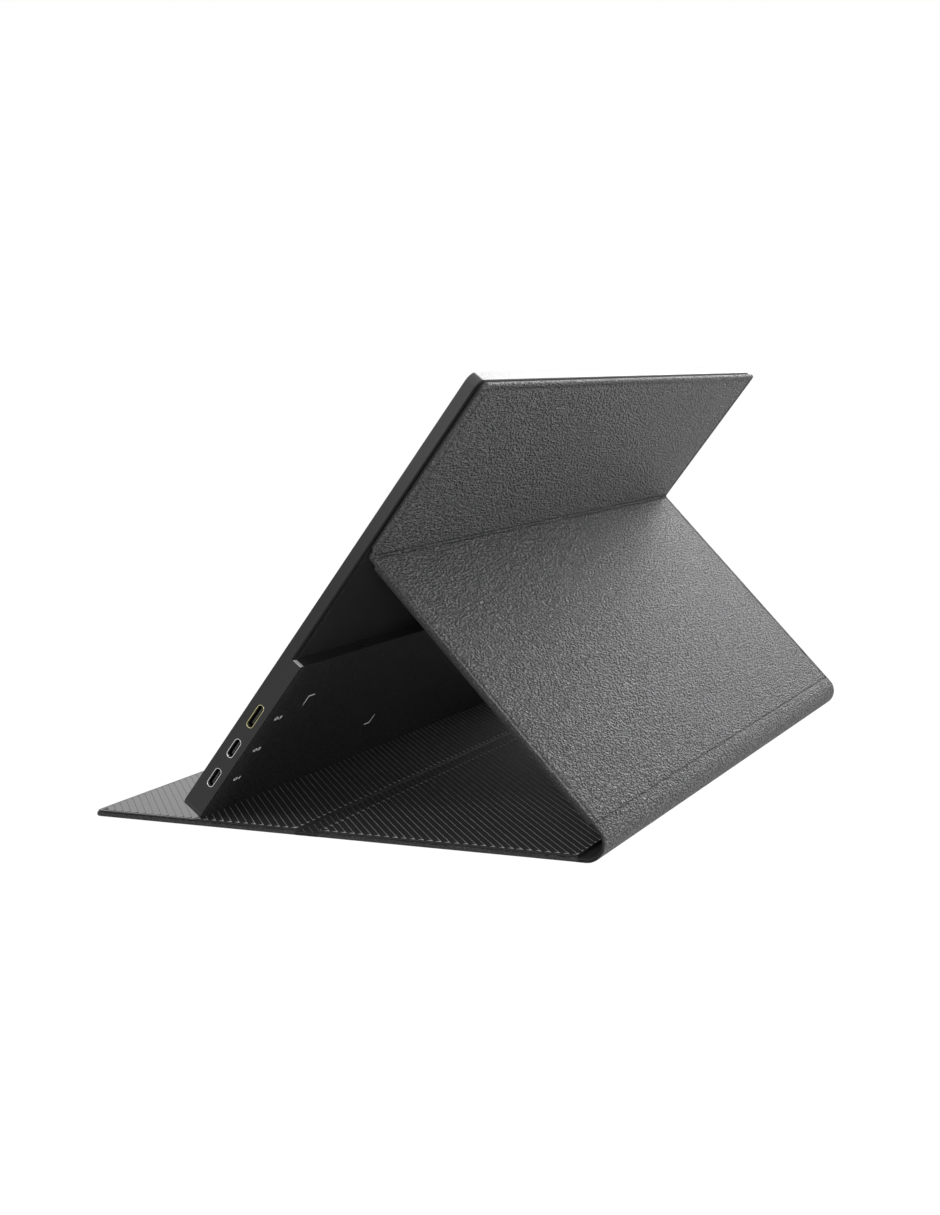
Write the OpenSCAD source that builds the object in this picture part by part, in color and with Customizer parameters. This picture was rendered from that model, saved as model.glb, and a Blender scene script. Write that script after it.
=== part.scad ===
// Portable monitor held by magnets in a folding cover, which stands as a tent behind it.
// X runs along the width, with the sockets at +X. The screen faces -Y and up, +Y is the rear.
// The origin is on the table, at the centre of the footprint.

/* [Monitor] */
// Width of the monitor and of its cover
screen_w = 358; // [300:1:400]
// Height of the monitor, measured along its back
screen_h = 226; // [215:1:240]
// Thickness of the lower block, which holds the boards
block_t = 9.9; // [9.9:0.1:13]
// Thickness of the thin upper part
panel_t = 5.6; // [5.3:0.1:6.5]
// Height of the lower block, measured along its back
block_h = 85.6; // [80:0.2:95]
// Radius of the monitor's outer corners
corner_r = 4; // [2:0.5:6]
// Radius of the lower block's two upper corners
block_corner_r = 2.4; // [1:0.2:3]
// Wall of the side frame
frame_wall = 2.4; // [1.8:0.1:3]
// Thickness of the rear plate and of the lower block's cover
shell_t = 0.9; // [0.7:0.1:1]
// Wall that closes the step between the block and the thin part
step_wall = 1.2; // [0.8:0.1:2]
// Length of the narrow slot in the step
step_slot_l = 13; // [6:1:20]
// Height of the slot in the step
step_slot_h = 0.9; // [0.6:0.1:1.2]
// Distance of the slot's centre from the middle of the width
step_slot_x = 126.5; // [60:0.5:130]
// Height of the slot's centre above the block's back
step_slot_lift = 1.7; // [1.6:0.1:2.2]

/* [Screen] */
// Thickness of the front glass
glass_t = 0.8; // [0.5:0.1:1]
// How far the glass stays inside the frame's edge
glass_inset = 0.2; // [0.1:0.1:0.5]
// Thickness of the tape under the glass
tape_t = 0.15; // [0.1:0.05:0.3]
// Width of the tape
tape_w = 3.4; // [2:0.2:4]
// Border between the picture and the monitor's side and top edges
border = 6.8; // [6:0.2:12]
// Border between the picture and the monitor's bottom edge
chin = 25.4; // [20:0.2:34]
// Width of the cell's edge around the picture
cell_edge = 2.2; // [1:0.2:3]
// Thickness of the liquid crystal cell
cell_t = 1.3; // [0.8:0.1:1.4]
// Thickness of the diffuser and prism films
film_t = 0.35; // [0.2:0.05:0.4]
// Thickness of the light guide
guide_t = 0.6; // [0.4:0.1:0.7]
// Thickness of the white reflector
reflector_t = 0.15; // [0.1:0.05:0.2]
// Thickness of the tray's sheet metal
tray_t = 0.35; // [0.2:0.05:0.4]
// Gap round the sheets inside the tray
sheet_gap = 0.15; // [0.1:0.05:0.3]
// Width of the strip that carries the lights
led_strip_w = 2.2; // [1.6:0.2:3]
// Number of lights on the strip
led_count = 32; // [16:4:48]
// Length of one light
led_l = 4; // [3:0.5:5]

/* [Sockets] */
// Height of the sockets' centres above the monitor's back
port_lift = 4.4; // [4.2:0.1:4.5]
// Centre of the lower USB-C socket above the bottom edge
usb_1_s = 20.4; // [18:0.2:24]
// Centre of the upper USB-C socket above the bottom edge
usb_2_s = 37; // [35:0.2:39]
// Centre of the mini HDMI socket above the bottom edge
hdmi_s = 54.8; // [53:0.2:57]
// Width of a USB-C opening
usb_w = 8.34; // [8.2:0.02:8.5]
// Height of a USB-C opening
usb_h = 2.56; // [2.5:0.02:2.6]
// Width of the mini HDMI opening
hdmi_w = 10.6; // [10.4:0.1:10.8]
// Height of the mini HDMI opening
hdmi_h = 2.5; // [2.4:0.1:2.6]
// Wall of a socket's metal shell
socket_wall = 0.3; // [0.2:0.05:0.35]
// Depth of a socket's shell
socket_l = 7.4; // [6.5:0.1:9]
// Thickness of the block at a socket's back, which holds the tongue
socket_back = 1.5; // [1:0.1:2]
// Wall of the bright ring round a socket's mouth
ring_wall = 0.45; // [0.3:0.05:0.6]
// Gap between a ring and the opening that it frames
ring_gap = 0.45; // [0.2:0.05:0.5]
// Depth of a ring in the frame
ring_l = 0.9; // [0.6:0.1:1.2]
// Width of a USB-C tongue
usb_tongue_w = 6.7; // [6:0.1:7]
// Thickness of a tongue
tongue_t = 0.7; // [0.5:0.1:0.9]
// Width of the mini HDMI tongue
hdmi_tongue_w = 8.4; // [7:0.1:9]
// How far a tongue ends inside its mouth
tongue_set_back = 0.9; // [0.5:0.1:2]

/* [Keys and headphone jack] */
// Centre of the power button above the bottom edge
power_s = 20; // [16:0.5:22]
// Centre of the menu key above the bottom edge
menu_s = 38; // [36:0.5:40]
// Length of a key's cap
key_l = 11; // [8:0.5:13]
// Height of a key's cap
key_h = 3; // [2.4:0.1:3.2]
// Travel of a key
key_travel = 0.6; // [0.3:0.1:0.7]
// Thickness of the flange that keeps a key in
key_flange_t = 0.7; // [0.5:0.1:0.9]
// How far the flange reaches past each end of the cap
key_flange_lip = 0.7; // [0.5:0.1:0.8]
// Length of the stem that presses the switch
key_stem_l = 0.8; // [0.5:0.1:1]
// Width of the stem
key_stem_w = 3; // [2:0.2:4]
// Depth of a key's switch
switch_l = 3; // [2:0.2:4]
// Length of a switch
switch_w = 6; // [4:0.2:8]
// Length of the part of a switch that moves
plunger_l = 0.4; // [0.2:0.1:0.6]
// Centre of the headphone jack above the bottom edge
jack_s = 57; // [55:0.5:60]
// Height of the jack's axis above the monitor's back
jack_lift = 3.6; // [3.5:0.1:3.7]
// Radius of the jack's bore
jack_bore_r = 1.8; // [1.78:0.02:1.85]
// Radius of the jack's round nose
jack_nose_r = 2.3; // [2.2:0.1:2.4]
// Width and height of the jack's body
jack_body_w = 4.9; // [4.8:0.1:5]
// Length of the jack's body
jack_body_l = 12; // [11:0.5:14]
// Wall at the blind end of the bore
jack_end_t = 1; // [0.6:0.1:2]

/* [Boards] */
// Thickness of the circuit boards
pcb_t = 1; // [0.6:0.1:1]
// Length of the main board along the width
main_l = 78; // [70:1:90]
// Lower edge of the boards above the bottom edge
pcb_low = 8; // [6:0.5:10]
// Upper edge of the boards above the bottom edge
pcb_high = 70; // [68:0.5:76]
// Width of the button board
button_pcb_l = 16; // [14:0.5:20]
// Gap between a board and the frame's wall
pcb_gap = 1; // [0.5:0.1:2]
// Radius of a screw boss
boss_r = 2; // [1.6:0.1:2.4]
// Radius of a screw's shank
screw_r = 0.8; // [0.6:0.1:1]
// Radius of a screw's head
screw_head_r = 1.6; // [1.3:0.1:2]
// Height of a screw's head
screw_head_t = 0.6; // [0.4:0.1:0.8]
// Distance of the screws from a board's edges
screw_edge = 3; // [2.6:0.1:4]
// Clearance round a screw's shank
screw_gap = 0.05; // [0.02:0.01:0.1]
// Thickness of the flat cables
cable_t = 0.2; // [0.1:0.05:0.25]
// Width of the panel's flat cable
panel_cable_w = 30; // [20:1:40]
// Width of the flat cable to the button board
button_cable_w = 6; // [4:0.5:10]
// Height of the connector under the panel's cable
connector_t = 1.3; // [1:0.1:1.5]
// Depth of the connector under the panel's cable
connector_w = 4; // [3:0.5:6]

/* [Magnets and pads] */
// Radius of a magnet in the cover
magnet_r = 6; // [4:0.5:8]
// Number of magnets along the cover's upper panel
magnet_count = 6; // [4:2:8]
// Distance of the outer magnets from the cover's sides
magnet_edge = 44; // [30:1:70]
// Distance of the magnets from the monitor's top edge
magnet_down = 39; // [30:1:50]
// Thickness of the steel plates that the magnets hold
steel_t = 0.5; // [0.3:0.1:0.6]
// Height of the steel plates along the monitor
steel_h = 22; // [16:1:30]
// Distance between the two steel plates
steel_apart = 30; // [16:1:40]
// Width of a foam pad between the tray and the rear plate
pad_w = 12; // [8:1:16]

/* [Cover] */
// Thickness of the outer leather
skin_t = 0.6; // [0.4:0.1:0.8]
// Thickness of the stiff boards
board_t = 1.2; // [0.8:0.1:1.4]
// Thickness of the inner lining
lining_t = 0.8; // [0.5:0.1:1]
// Width of the leather turned in round a board
turned_edge = 2; // [1:0.1:3]
// How far the lining stays inside the leather's edge
lining_inset = 0.6; // [0.4:0.1:1]
// Radius of the cover's outer corners
cover_corner_r = 3; // [2:0.5:5]
// Length of the base from its front edge to the spine
base_l = 228; // [215:1:235]
// Distance of the base's fold from its front edge
base_fold = 105.4; // [95:0.2:115]
// Width of the soft zone at the base's fold
base_soft = 11.4; // [6:0.2:14]
// Length of the middle panel from the spine to the fold
middle_l = 138.9; // [136:0.1:146]
// Distance of the fold from the monitor's bottom edge
fold_s = 141.9; // [138:0.1:144]
// How far the cover reaches past the monitor's top edge
top_over = 0.6; // [0:0.1:2]
// Width of the soft strip at the fold
fold_soft = 3.4; // [2.6:0.1:5]
// Width of the soft zone between the spine and the boards
spine_soft = 4; // [2:0.2:6]
// Outer radius of the spine
spine_r = 8.1; // [7:0.1:10]
// Gap between neighbouring pieces at a crease
crease_gap = 0.2; // [0.1:0.05:0.3]
// Clearance round the boards and magnets in the cover
board_gap = 0.1; // [0.05:0.05:0.2]

/* [Stand] */
// Angle between the monitor and the table
lean = 52; // [48:1:58]
// Gap between the monitor's thin part and the cover's lining
hold_gap = 0.3; // [0.2:0.05:0.5]
// Gap between the monitor's foot and the base
foot_gap = 0.05; // [0.05:0.05:0.2]
// Sliding clearance of the keys and of parts that pass through the frame
fit_gap = 0.1; // [0.05:0.05:0.2]

/* [Hidden] */
$fn = 48;
// Length added to cutters so that they pass the faces they cut
over = 1;
cover_t = skin_t + board_t + lining_t;
soft_t = skin_t + lining_t;
board_top = skin_t + board_t;
lining_w = screen_w - 2 * lining_inset;

// The stand as a closed triangle in the YZ plane: base, middle panel and monitor.
foot_z = cover_t + foot_gap;
hold_step = panel_t - block_t + hold_gap + cover_t;
fold_z = foot_z + fold_s * sin(lean) - hold_step * cos(lean);
middle_reach = norm([middle_l, spine_r]);
middle_fall = asin((fold_z - spine_r) / middle_reach) - atan(spine_r / middle_l);
spine_turn = 180 - middle_fall;
spine_top_y = base_l + spine_r * sin(spine_turn);
spine_top_z = spine_r - spine_r * cos(spine_turn);
fold_y = spine_top_y - middle_l * cos(middle_fall);
foot_y = fold_y - fold_s * cos(lean) - hold_step * sin(lean);
stand_depth = base_l + spine_r;
half_turn = spine_turn / 2;
crease_turn = atan(crease_gap / 2 / spine_r);
top_l = screen_h - fold_s + top_over;
// Where the middle panel ends and the soft strip at the fold begins
fold_end = middle_l - fold_soft;

// Heights inside the monitor, from its back face to the front glass.
step_z = block_t - panel_t;
glass_z = block_t - glass_t;
tape_z = glass_z - tape_t;
cell_z = tape_z - cell_t;
film_z = cell_z - film_t;
guide_z = film_z - guide_t;
reflector_z = guide_z - reflector_t;
tray_z = reflector_z - tray_t;
plate_top = step_z + shell_t;
pcb_z = port_lift - usb_h / 2 - socket_wall - pcb_t;
pcb_top = pcb_z + pcb_t;

inner_w = screen_w - 2 * frame_wall;
picture_w = screen_w - 2 * border;
cell_w = picture_w + 2 * cell_edge;
cell_low = chin - cell_edge;
cell_high = screen_h - border + cell_edge;
sheet_w = cell_w - 2 * tray_t - 2 * sheet_gap;
sheet_low = cell_low + tray_t + sheet_gap + led_strip_w;
sheet_high = cell_high - tray_t - sheet_gap;

key_inner = inner_w / 2 - fit_gap / 2;
main_end = inner_w / 2 - pcb_gap;
main_start = main_end - main_l;
button_end = key_inner - key_flange_t - key_travel - fit_gap;
button_start = button_end - button_pcb_l;
main_screws = [
    for (x = [main_start + screw_edge, main_end - screw_edge - socket_l])
        for (s = [pcb_low + screw_edge, pcb_high - screw_edge]) [x, s]
];
button_screws = [
    for (s = [pcb_low + screw_edge, pcb_high - screw_edge])
        [-(button_start + button_end) / 2, s]
];
board_screw_places = concat(main_screws, button_screws);
socket_end = screen_w / 2 - ring_l - fit_gap;
stem_end = key_inner - key_flange_t - key_stem_l;
plunger_end = stem_end - key_travel - fit_gap / 2;
switch_end = plunger_end - plunger_l;
cable_low = (pcb_low + pcb_high) / 2;
panel_cable_x = main_start + main_l / 3;
panel_cable_s = pcb_low + screw_edge;

// ---- Frames of reference ----

// From the base's front edge to the centre of the footprint
module on_table() {
    translate([0, -stand_depth / 2, 0]) children();
}

// The monitor's own frame: X along the width, Y up its back from the foot, Z towards the viewer
module in_monitor() {
    on_table() translate([0, foot_y, foot_z]) rotate([lean, 0, 0]) children();
}

// The upper panel's frame: Y up from the fold, Z from the leather towards the monitor
module in_top() {
    on_table() translate([0, fold_y, fold_z]) rotate([lean, 0, 0]) children();
}

// The middle panel's frame: Y from the spine to the fold, Z from the leather to the lining
module in_middle() {
    on_table() translate([0, spine_top_y, spine_top_z]) rotate([spine_turn, 0, 0]) children();
}

// Extrudes a shape drawn in the YZ plane along X, about the middle
module along_x(length) {
    rotate([90, 0, 90]) linear_extrude(length, center = true) children();
}

// Extrudes a shape drawn in the YZ plane from start towards +X
module from_x(start, length) {
    translate([start, 0, 0]) rotate([90, 0, 90]) linear_extrude(length) children();
}

// ---- Outlines ----

// Rectangle from y0 to y1, centred in X, with its own corner radius at each end
module outline(width, y0, y1, r0, r1) {
    half = width / 2;
    translate([-half, y0 + r0]) square([width, y1 - y0 - r0 - r1]);
    end_corners(half, y0, r0, 1);
    end_corners(half, y1, r1, -1);
}

// The strip at one end of an outline, with round corners where r is more than zero
module end_corners(half, y, r, direction) {
    if (r > 0) {
        low = min(y, y + direction * r);
        translate([-half + r, low]) square([2 * (half - r), r]);
        for (side = [-1, 1]) {
            translate([side * (half - r), y + direction * r]) intersection() {
                circle(r);
                translate([side * r / 2, -direction * r / 2]) square(r, center = true);
            }
        }
    }
}

// Flat slot with half-round ends, centred
module stadium(length, height) {
    square([length - height, height], center = true);
    for (side = [-1, 1]) {
        translate([side * (length - height) / 2, 0]) circle(d = height);
    }
}

// Sector of a ring in the YZ plane, its angles counted from straight down towards +Y
module ring_sector(outer, inner, from, to) {
    far = 2 * outer;
    intersection() {
        difference() {
            circle(outer);
            circle(inner);
        }
        polygon([[0, 0], far * [sin(from), -cos(from)], far * [sin(to), -cos(to)]]);
    }
}

// ---- Monitor: casing ----

module side_frame() {
    color("dimgray") in_monitor() difference() {
        union() {
            translate([0, 0, step_z])
                linear_extrude(glass_z - step_z)
                    outline(screen_w, 0, screen_h, corner_r, corner_r);
            linear_extrude(step_z) outline(screen_w, 0, block_h, corner_r, block_corner_r);
        }
        translate([0, 0, -over])
            linear_extrude(block_t + 2 * over)
                outline(inner_w, frame_wall, screen_h - frame_wall, 0, 0);
        port_cuts();
        key_cuts();
    }
}

// Openings for the three sockets and their rings
module port_cuts() {
    for (s = [usb_1_s, usb_2_s]) {
        socket_cut(s, usb_w, usb_h);
    }
    socket_cut(hdmi_s, hdmi_w, hdmi_h);
}

module socket_cut(s, width, height) {
    shell = 2 * (socket_wall + fit_gap);
    ring = 2 * (ring_gap + ring_wall);
    from_x(inner_w / 2 - over, frame_wall + 2 * over)
        translate([s, port_lift]) stadium(width + shell, height + shell);
    from_x(screen_w / 2 - ring_l, ring_l + over)
        translate([s, port_lift]) stadium(width + ring, height + ring);
}

// Openings for the two keys and the headphone jack
module key_cuts() {
    for (s = [power_s, menu_s]) {
        from_x(-screen_w / 2 - over, frame_wall + 2 * over)
            translate([s, port_lift]) stadium(key_l + 2 * fit_gap, key_h + 2 * fit_gap);
    }
    from_x(-screen_w / 2 - over, frame_wall + 2 * over)
        translate([jack_s, jack_lift]) circle(jack_nose_r + fit_gap);
}

module rear_plate() {
    color("#0a0a0b") in_monitor() translate([0, 0, step_z])
        linear_extrude(shell_t)
            outline(inner_w - 2 * fit_gap, block_h + fit_gap, screen_h - frame_wall - fit_gap, 0, 0);
}

// Plate over the block, with the wall that closes the step and the bosses of the boards
module rear_block_cover() {
    width = inner_w - 2 * fit_gap;
    color("#151515") in_monitor() {
        linear_extrude(shell_t) outline(width, frame_wall + fit_gap, block_h, 0, 0);
        difference() {
            linear_extrude(plate_top) outline(width, block_h - step_wall, block_h, 0, 0);
            translate([step_slot_x, block_h, step_slot_lift]) rotate([90, 0, 0])
                linear_extrude(2 * (step_wall + over), center = true) stadium(step_slot_l, step_slot_h);
        }
        translate([0, 0, shell_t]) linear_extrude(pcb_z - shell_t) {
            for (place = board_screw_places) {
                translate(place) difference() {
                    circle(boss_r);
                    circle(screw_r + screw_gap);
                }
            }
        }
    }
}

// ---- Monitor: screen ----

module front_glass() {
    width = screen_w - 2 * glass_inset;
    r = corner_r - glass_inset;
    color("black") in_monitor() translate([0, 0, glass_z])
        linear_extrude(glass_t) outline(width, glass_inset, screen_h - glass_inset, r, r);
}

module glass_tape() {
    inset = glass_inset + tape_w;
    color("#202020") in_monitor() translate([0, 0, tape_z]) linear_extrude(tape_t) difference() {
        outline(inner_w - 2 * fit_gap, frame_wall + fit_gap, screen_h - frame_wall - fit_gap, 0, 0);
        outline(screen_w - 2 * inset - 2 * tape_w, inset, screen_h - inset, 0, 0);
    }
}

module lcd_cell() {
    color("#1c2226") in_monitor() translate([0, 0, cell_z])
        linear_extrude(cell_t) outline(cell_w, cell_low, cell_high, 0, 0);
}

// One of the sheets stacked inside the tray
module stacked_sheet(height, thickness) {
    in_monitor() translate([0, 0, height])
        linear_extrude(thickness) outline(sheet_w, sheet_low, sheet_high, 0, 0);
}

module optical_films() {
    color("white") stacked_sheet(film_z, film_t);
}

module light_guide() {
    color("#dfeaf0") stacked_sheet(guide_z, guide_t);
}

module reflector_sheet() {
    color("white") stacked_sheet(reflector_z, reflector_t);
}

// Flat flexible strip along the tray's lower edge, with a row of lights
module led_strip() {
    low = cell_low + tray_t + sheet_gap;
    pitch = (sheet_w - led_l) / (led_count - 1);
    color("#f2e9c0") in_monitor() {
        translate([-sheet_w / 2, low, reflector_z])
            cube([sheet_w, led_strip_w - sheet_gap, reflector_t]);
        for (i = [0 : led_count - 1]) {
            translate([i * pitch - sheet_w / 2, low, guide_z])
                cube([led_l, led_strip_w - sheet_gap, guide_t]);
        }
    }
}

module panel_tray() {
    color("silver") in_monitor() difference() {
        translate([0, 0, tray_z])
            linear_extrude(cell_z - tray_z) outline(cell_w, cell_low, cell_high, 0, 0);
        translate([0, 0, reflector_z])
            linear_extrude(cell_z - reflector_z + over)
                outline(cell_w - 2 * tray_t, cell_low + tray_t, cell_high - tray_t, 0, 0);
    }
}

// Foam strips that press the tray against the glass
module foam_pads() {
    color("#303030") in_monitor() translate([0, 0, plate_top]) linear_extrude(tray_z - plate_top) {
        for (side = [-1, 1]) {
            translate([side * (cell_w - pad_w) / 2, (block_h + cell_high) / 2])
                square([pad_w, cell_high - block_h - 2 * pad_w], center = true);
        }
    }
}

// Steel plates behind the rear plate, opposite the cover's magnets
module steel_plates() {
    far_end = cell_w / 2 - pad_w - board_gap;
    color("lightsteelblue") in_monitor() translate([0, 0, plate_top]) linear_extrude(steel_t) {
        for (side = [-1, 1]) {
            translate([side * (steel_apart / 2 + far_end) / 2, screen_h - magnet_down])
                square([far_end - steel_apart / 2, steel_h], center = true);
        }
    }
}

// ---- Monitor: boards and sockets ----

module main_board() {
    color("darkgreen") in_monitor() translate([0, 0, pcb_z]) linear_extrude(pcb_t) difference() {
        translate([main_start, pcb_low]) square([main_l, pcb_high - pcb_low]);
        for (place = main_screws) {
            translate(place) circle(screw_r + screw_gap);
        }
    }
}

// Chips, coils and the cable's connector, as [x share, s share, width, height, thickness]
module board_chips() {
    chips = [
        [0.32, 0.72, 16, 16, 1.2], [0.56, 0.5, 10, 10, 1], [0.56, 0.2, 7, 7, 1],
        [0.7, 0.75, 6, 6, 2.2], [0.7, 0.5, 6, 6, 2.2], [0.34, 0.25, 9, 5, 1]
    ];
    color("#222222") in_monitor() {
        for (chip = chips) {
            translate([main_start + chip[0] * main_l, pcb_low + chip[1] * (pcb_high - pcb_low), pcb_top])
                translate([-chip[2] / 2, -chip[3] / 2, 0]) cube([chip[2], chip[3], chip[4]]);
        }
    }
}

module board_screws() {
    color("silver") in_monitor() {
        for (place = board_screw_places) {
            translate([place[0], place[1], pcb_top]) cylinder(r = screw_head_r, h = screw_head_t);
            translate([place[0], place[1], shell_t]) cylinder(r = screw_r, h = pcb_top - shell_t);
        }
    }
}

// Flat cable from its connector on the main board to the back of the tray
module panel_cable() {
    plug_top = pcb_top + connector_t;
    color("#c8862e") in_monitor() translate([panel_cable_x - panel_cable_w / 2, panel_cable_s, 0]) {
        translate([0, 0, pcb_top]) cube([panel_cable_w, connector_w, connector_t + cable_t]);
        translate([0, 0, plug_top]) cube([panel_cable_w, cable_t, tray_z - plug_top]);
        translate([0, 0, tray_z - cable_t]) cube([panel_cable_w, block_h, cable_t]);
    }
}

// Metal shell of a socket, open at its mouth
module socket_shell(s, width, height) {
    wall = 2 * socket_wall;
    in_monitor() translate([0, s, port_lift]) difference() {
        from_x(socket_end - socket_l, socket_l) stadium(width + wall, height + wall);
        from_x(socket_end - socket_l + socket_wall, socket_l) stadium(width, height);
    }
}

module usb_c_socket(s) {
    color("#3a3a3c") socket_shell(s, usb_w, usb_h);
}

module mini_hdmi_socket() {
    color("#4a4030") socket_shell(hdmi_s, hdmi_w, hdmi_h);
}

// Tongue with the block that holds it at the socket's back
module socket_tongue(s, width, height, tongue_w) {
    start = socket_end - socket_l + socket_wall;
    in_monitor() translate([0, s, port_lift]) {
        from_x(start, socket_back) stadium(width - fit_gap, height - fit_gap);
        from_x(start, socket_l - socket_wall - tongue_set_back) square([tongue_w, tongue_t], center = true);
    }
}

module usb_c_tongues() {
    color("#606062") {
        for (s = [usb_1_s, usb_2_s]) {
            socket_tongue(s, usb_w, usb_h, usb_tongue_w);
        }
    }
}

module hdmi_tongue() {
    color("#5a5248") socket_tongue(hdmi_s, hdmi_w, hdmi_h, hdmi_tongue_w);
}

// Bright ring set into the frame round a socket's mouth
module mouth_ring(s, width, height) {
    gap = 2 * ring_gap;
    wall = 2 * (ring_gap + ring_wall) - 2 * screw_gap;
    in_monitor() from_x(screen_w / 2 - ring_l, ring_l) translate([s, port_lift]) difference() {
        stadium(width + wall, height + wall);
        stadium(width + gap, height + gap);
    }
}

module usb_c_rings() {
    color("silver") {
        for (s = [usb_1_s, usb_2_s]) {
            mouth_ring(s, usb_w, usb_h);
        }
    }
}

module hdmi_ring() {
    color("#b5a868") mouth_ring(hdmi_s, hdmi_w, hdmi_h);
}

// Jack with its round nose in the frame and a blind bore for the plug
module headphone_jack() {
    nose_end = screen_w / 2 - fit_gap;
    body_end = inner_w / 2 - fit_gap;
    color("#202022") in_monitor() translate([0, jack_s, jack_lift]) difference() {
        union() {
            from_x(-body_end, jack_body_l) square(jack_body_w, center = true);
            from_x(-nose_end, frame_wall + fit_gap) circle(jack_nose_r);
        }
        from_x(-nose_end - over, nose_end - body_end + jack_body_l - jack_end_t + over)
            circle(jack_bore_r);
    }
}

module button_board() {
    color("darkgreen") in_monitor() translate([0, 0, pcb_z]) linear_extrude(pcb_t) difference() {
        translate([-button_end, pcb_low]) square([button_pcb_l, pcb_high - pcb_low]);
        translate([-button_end - over, jack_s - jack_body_w / 2 - fit_gap])
            square([jack_body_l + over + fit_gap, jack_body_w + 2 * fit_gap]);
        for (place = button_screws) {
            translate(place) circle(screw_r + screw_gap);
        }
    }
}

// One switch behind each key
module button_switches() {
    height = port_lift + key_h / 2 - pcb_top;
    color("#888888") in_monitor() {
        for (s = [power_s, menu_s]) {
            translate([-switch_end, s - switch_w / 2, pcb_top]) cube([switch_l, switch_w, height]);
            translate([-plunger_end, s - key_stem_w / 2, port_lift - tongue_t])
                cube([plunger_l, key_stem_w, 2 * tongue_t]);
        }
    }
}

// Flat cable on the block's cover, from the main board to the button board
module button_cable() {
    left = -button_end + button_pcb_l / 3;
    right = main_start + button_cable_w;
    color("#c8862e") in_monitor() {
        translate([left, cable_low, shell_t]) cube([right - left, button_cable_w, cable_t]);
        for (x = [left, right - button_cable_w]) {
            translate([x, cable_low, shell_t]) cube([button_cable_w, button_cable_w, pcb_z - shell_t]);
        }
    }
}

// Cap through the frame's wall, flange behind it and stem towards the switch
module key(s) {
    lip = 2 * key_flange_lip;
    in_monitor() translate([0, s, port_lift]) {
        from_x(-screen_w / 2, screen_w / 2 - key_inner) stadium(key_l, key_h);
        from_x(-key_inner, key_flange_t) stadium(key_l + lip, key_h);
        from_x(-key_inner, key_flange_t + key_stem_l) square([key_stem_w, 2 * tongue_t], center = true);
    }
}

module power_button() {
    color("#707072") key(power_s);
}

module menu_key() {
    color("#707072") key(menu_s);
}

// ---- Cover ----

// Outer leather of a panel from y0 to y1, turned in round a board from b0 to b1.
// An end with a radius is free, and the leather is turned in there too.
module skin_sheet(y0, y1, b0, b1, r0, r1) {
    rim0 = r0 > 0 ? y0 : b0;
    rim1 = r1 > 0 ? y1 : b1;
    pocket0 = r0 > 0 ? b0 : b0 - over;
    pocket1 = r1 > 0 ? b1 : b1 + over;
    linear_extrude(skin_t) outline(screen_w, y0, y1, r0, r1);
    translate([0, 0, skin_t]) linear_extrude(board_t) difference() {
        outline(screen_w, rim0, rim1, r0, r1);
        outline(screen_w - 2 * turned_edge, pocket0, pocket1, 0, 0);
    }
}

// Stiff board of a panel, inside the turned edges
module board_sheet(b0, b1, r0, r1) {
    width = screen_w - 2 * turned_edge - 2 * board_gap;
    outline(width, b0 + board_gap * sign(r0), b1 - board_gap * sign(r1), 0, 0);
}

// Lining of a panel: over the board and its turned edges, and down on the leather beside them
module lining_sheet(y0, y1, b0, b1, r0, r1) {
    high0 = r0 > 0 ? y0 + lining_inset : b0;
    high1 = r1 > 0 ? y1 - lining_inset : b1;
    along_x(lining_w) {
        translate([high0, board_top]) square([high1 - high0, lining_t]);
        if (r0 == 0) {
            translate([y0, skin_t]) square([b0 - board_gap - y0, lining_t]);
            translate([b0 - board_gap - lining_t, skin_t]) square([lining_t, cover_t - skin_t]);
            translate([b0 - board_gap - lining_t, board_top]) square([2 * lining_t, lining_t]);
        }
        if (r1 == 0) {
            translate([b1 + board_gap, skin_t]) square([y1 - b1 - board_gap, lining_t]);
            translate([b1 + board_gap, skin_t]) square([lining_t, cover_t - skin_t]);
            translate([b1 - lining_t, board_top]) square([2 * lining_t + board_gap, lining_t]);
        }
    }
}

// Ends of the four boarded panels along their own Y, and of the boards inside them
function base_front_ends() = [0, base_fold - crease_gap / 2, turned_edge, base_fold - base_soft / 2];
function base_rear_ends() =
    [base_fold + crease_gap / 2, base_l - crease_gap / 2, base_fold + base_soft / 2, base_l - spine_soft];
function middle_ends() = [crease_gap / 2, fold_end - crease_gap / 2, spine_soft, fold_end - lining_t - board_gap];
function top_ends() = [crease_gap / 2, top_l, fold_soft, top_l - turned_edge];

module panel_skin(e, r0, r1) {
    color("dimgray") skin_sheet(e[0], e[1], e[2], e[3], r0, r1);
}

module panel_board(e, r0, r1) {
    color("tan") translate([0, 0, skin_t]) linear_extrude(board_t) board_sheet(e[2], e[3], r0, r1);
}

module panel_lining(e, r0, r1) {
    color("#2c2c2e") lining_sheet(e[0], e[1], e[2], e[3], r0, r1);
}

module base_front_skin() {
    on_table() panel_skin(base_front_ends(), cover_corner_r, 0);
}

module base_front_board() {
    on_table() panel_board(base_front_ends(), cover_corner_r, 0);
}

module base_front_lining() {
    on_table() panel_lining(base_front_ends(), cover_corner_r, 0);
}

module base_rear_skin() {
    on_table() panel_skin(base_rear_ends(), 0, 0);
}

module base_rear_board() {
    on_table() panel_board(base_rear_ends(), 0, 0);
}

module base_rear_lining() {
    on_table() panel_lining(base_rear_ends(), 0, 0);
}

module middle_skin() {
    in_middle() panel_skin(middle_ends(), 0, 0);
}

module middle_board() {
    in_middle() panel_board(middle_ends(), 0, 0);
}

module middle_lining() {
    in_middle() panel_lining(middle_ends(), 0, 0);
}

module top_skin() {
    in_top() panel_skin(top_ends(), 0, cover_corner_r);
}

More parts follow.
